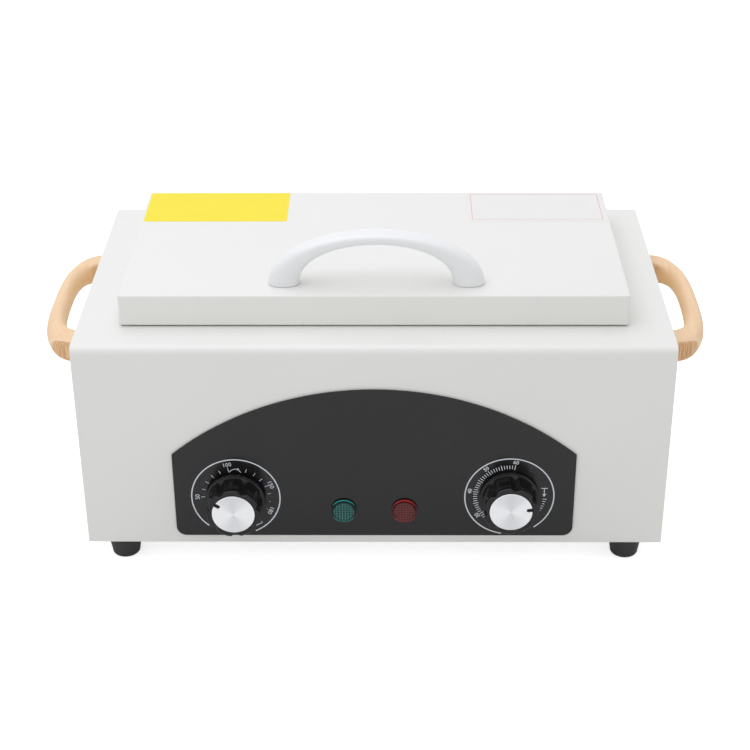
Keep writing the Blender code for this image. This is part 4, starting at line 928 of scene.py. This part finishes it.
for dial, lift, notch in (("temperature", 2.5, 147.5), ("timer", 0.5, 7.0)):
    place = on_panel(*DIALS[dial], lift)
    piece(f"{dial}_knob_grip", knob_mesh(), gloss, f"{dial}_knob", [f"{dial}_knob"],
          place @ Matrix.Rotation(math.radians(notch - 3.0), 4, "Z"), 40)
    piece(f"{dial}_knob_disc", cap_mesh(notch), spun, f"{dial}_knob", [f"{dial}_knob_cap"],
          place @ Matrix.Translation((0, 0, 15.5)) @ Matrix.Rotation(math.radians(notch), 4, "Z"), 40)

# Pilot lamps
# A moulded lens over a neon in a black holder. A narrow step parts its rim from
# its face, which is a grid of small prisms.
LENS_PITCH = 1.7


def prism_field(pitch, reach, height):
    """Small four-sided prisms on a square grid, as far as a circle."""
    field = Pattern("lens_prisms", pitch=pitch, reach=reach, height=height)
    side = field.node("ShaderNodeMath", {"operation": "CEIL"}, {0: field.size("reach") / field.size("pitch")}) * 2 + 1
    span = (side - 1) * field.size("pitch")
    grid = field.node("GeometryNodeMeshGrid", {}, {"Size X": span, "Size Y": span, "Vertices X": side, "Vertices Y": side})
    spot = field.node("GeometryNodeInputPosition")
    away = field.node("ShaderNodeVectorMath", {"operation": "LENGTH"}, {0: spot}, "Value")
    kept = field.node("GeometryNodeSeparateGeometry", {"domain": "POINT"}, {"Geometry": grid, "Selection": away < field.size("reach")})
    tip = field.node("GeometryNodeMeshCone", {}, {"Vertices": 4, "Radius Bottom": field.size("pitch") * 0.7,
                                                  "Radius Top": field.size("pitch") * 0.12, "Depth": field.size("height")})
    made = field.node("GeometryNodeInstanceOnPoints", {}, {"Points": kept, "Instance": tip, "Rotation": (0, 0, math.pi / 4)})
    return field.mesh(made)


def lens_finish(name, deep, line, rim_highlight):
    """Coloured plastic with painted highlight lines in the valleys of its face, and a painted highlight at the top and
    bottom of its rim.
    """
    lens = Finish(name, IOR=1.45, Roughness=0.22, Transmission_Weight=0.1)
    flat = lens.node("ShaderNodeUVMap", {"uv_map": "flat"})
    u, v = (lens.node("ShaderNodeSeparateXYZ", {}, {0: flat}, axis) for axis in "XY")
    reach = lens.node("ShaderNodeMath", {"operation": "SQRT"}, {0: u * u + v * v})
    upright = lens.node("ShaderNodeMath", {"operation": "ABSOLUTE"}, {0: v})
    valley_highlights = []
    for way in (u, v):
        part = lens.node("ShaderNodeMath", {"operation": "FRACT"}, {0: way / LENS_PITCH + 20.0})
        valley_highlights.append(contrast(lens, lens.node("ShaderNodeMath", {"operation": "ABSOLUTE"}, {0: part - 0.5}), 0.16, 0.08))
    grid = lens.node("ShaderNodeMath", {"operation": "MAXIMUM"}, {0: valley_highlights[0], 1: valley_highlights[1]})
    # Painted highlight: the valleys between the prisms take the lighter line colour, broken up by noise.
    face = lens.blend(grid * (reach < 6.1) * (0.7 + 0.6 * lens.noise(300)), deep, line)
    # Painted highlight: the rim is bright at its top and bottom and keeps the face's colour at its sides.
    rim = contrast(lens, reach, 7.1, 7.25) * contrast(lens, reach, 7.97, 7.85) * contrast(lens, upright, 3.8, 6.2)
    lens.set(Base_Color=lens.blend(rim, face, rim_highlight))
    return lens


# Each lens gets three colours: its own deep colour, the colour of its painted highlight lines, and the colour of its
# painted rim highlight.
LENSES = {"green": (-1, lens_finish("green_lens", (0.001, 0.021, 0.019), (0.045, 0.27, 0.245), (0.006, 0.36, 0.30))),
          "red": (1, lens_finish("red_lens", (0.078, 0.005, 0.006), (0.22, 0.036, 0.038), (0.55, 0.008, 0.008)))}
for colour, (side, finish) in LENSES.items():
    profile = [(0, 0.3), (8, 0.3), (8, 1.15), (7.9, 1.36), (7.7, 1.45), (7.25, 1.45), (7.12, 1.3), (7.05, 0.7), (6.98, 1.3),
               (6.95, 2.1), (6.85, 2.5), (6.6, 2.75), (6.3, 2.8), (6.15, 2.6), (0, 2.6)]
    field = prism_field(LENS_PITCH, 5.7, 0.48)
    field.transform(Matrix.Translation((0, 0, 2.82)))
    mesh = mapped(joined(turned("lens", profile, 72), field))
    piece(f"{colour}_lens", mesh, finish, "housing", [f"{colour}_lamp_lens"], on_panel(side * LAMP_X, LAMP_Z), 30)
coat(gloss, "green_lamp_holder", "red_lamp_holder")

# Hinges
# Two plated butt hinges behind the lid. Each leaf is rolled round the pin and
# riveted down, and the pin is headed over at both ends.
HINGE_Y, HINGE_Z, HINGE_HALF, BARREL, MIDDLE = 184.6, 138.3, 20, 3, 7.7


def hinge_leaf(reach, middle):
    """A leaf that lies along Y, with the middle knuckle above it or the outer two below."""
    low = BARREL - 1 if middle else -BARREL
    spans = [(-MIDDLE, MIDDLE)] if middle else [(-HINGE_HALF, -MIDDLE - 0.3), (MIDDLE + 0.3, HINGE_HALF)]
    parts = []
    for start, end in spans:
        profile = [(1.35, start), (BARREL, start), (BARREL, end), (1.35, end)]
        knuckle = turned("knuckle", profile, 40, True)
        knuckle.transform(Matrix.Rotation(math.pi / 2, 4, "Y"))
        parts += [edged(knuckle, 0.15), edged(prism("z", [(start, 0), (end, 0), (end, BARREL + 1), (start, BARREL + 1)], low, low + 1), 0.1)]
    near = BARREL + 0.5
    plate = rounded((0, (near + reach) / 2), 2 * HINGE_HALF, reach - near, 1.6, 6)
    parts.append(edged(prism("z", plate, low, low + 1), 0.15))
    face = low if middle else low + 1
    for x in (-14, 14):
        head = turned("rivet", [(0, -0.1), (2.1, -0.1), (2.0, 0.12), (1.5, 0.27), (0.8, 0.33), (0, 0.35)], 32)
        flip = Matrix.Rotation(math.pi, 4, "X") if middle else Matrix.Identity(4)
        head.transform(Matrix.Translation((x, reach - 3.3, face)) @ flip)
        parts.append(head)
    return joined(*parts)


for side, name in ((-1, "left"), (1, "right")):
    axle = Matrix.Translation((side * 95, HINGE_Y, HINGE_Z))
    piece(f"cover_hinge_{name}", hinge_leaf(9, False), steel, "housing", [f"hinge_cover_leaf_{name}"], axle, 35)
    piece(f"lid_hinge_{name}", hinge_leaf(12, True), steel, "lid", [f"hinge_lid_leaf_{name}"],
          axle @ Matrix.Rotation(math.pi / 2, 4, "X"), 35)
    profile = [(0, -20.9), (1.2, -20.9), (1.75, -20.7), (1.9, -20.4), (1.2, -20.3), (1.2, 20.3), (1.9, 20.4), (1.75, 20.7), (1.2, 20.9), (0, 20.9)]
    piece(f"hinge_rod_{name}", turned("pin", profile, 32), steel, "housing", [f"hinge_pin_{name}"],
          axle @ Matrix.Rotation(math.pi / 2, 4, "Y"), 35)

# Mains inlet
# A moulded three-pin appliance inlet that snaps into the rear wall. Its pins
# are flat blades with chamfered tips.
brass = Finish("nickel_brass", Metallic=1.0)
brass.set(Base_Color=brass.blend(brass.noise(300), (0.66, 0.52, 0.28), (0.78, 0.64, 0.38)), Roughness=0.3)
black_plastic = Finish("black_moulding", IOR=1.5, Roughness=0.38)
black_plastic.set(Base_Color=black_plastic.blend(black_plastic.noise(80), (0.012, 0.012, 0.013), (0.020, 0.020, 0.021)))
black_plastic.bump(black_plastic.noise(2500), 0.00002, 0.5)
INLET_X, INLET_Z, INLET_FACE = 112, 36, 202.28
flange = edged(prism("y", rounded((INLET_X, INLET_Z), 31, 25, 2, 8), 200.3, INLET_FACE), 0.5, 3, 60)
case = prism("y", rounded((INLET_X, INLET_Z), 27.4, 20, 2, 6), 182.3, 201.3)
socket = prism("y", rounded((INLET_X, INLET_Z), 24.6, 16.8, 4, 8), 186.8, 206)
inlet = cut(flange, socket)
pins = {"line": (INLET_X - 7, INLET_Z - 2), "neutral": (INLET_X + 7, INLET_Z - 2), "earth": (INLET_X, INLET_Z + 2)}
slots = [prism("y", rounded(spot, 2.6, 4.6, 0.2, 1), 170, 190) for spot in pins.values()]
inlet = joined(inlet, edged(cut(case, socket, *slots), 0.12, 1, 60))
piece("appliance_inlet", inlet, black_plastic, "housing", ["mains_inlet"], smooth=30)
for name, (x, z) in pins.items():
    ends = ((174.3, 0.5, 1.5), (174.8, 0.9, 1.9), (175.0, 1.0, 2.0), (199.4, 1.0, 2.0), (199.9, 0.85, 1.85), (200.3, 0.5, 1.4))
    blade = loft("blade", [[(x + u * wide, y, z + v * tall) for u, v in ((-1, -1), (1, -1), (1, 1), (-1, 1))] for y, wide, tall in ends])
    piece(f"inlet_blade_{name}", blade, brass, "housing", [f"inlet_pin_{name}"], smooth=30)
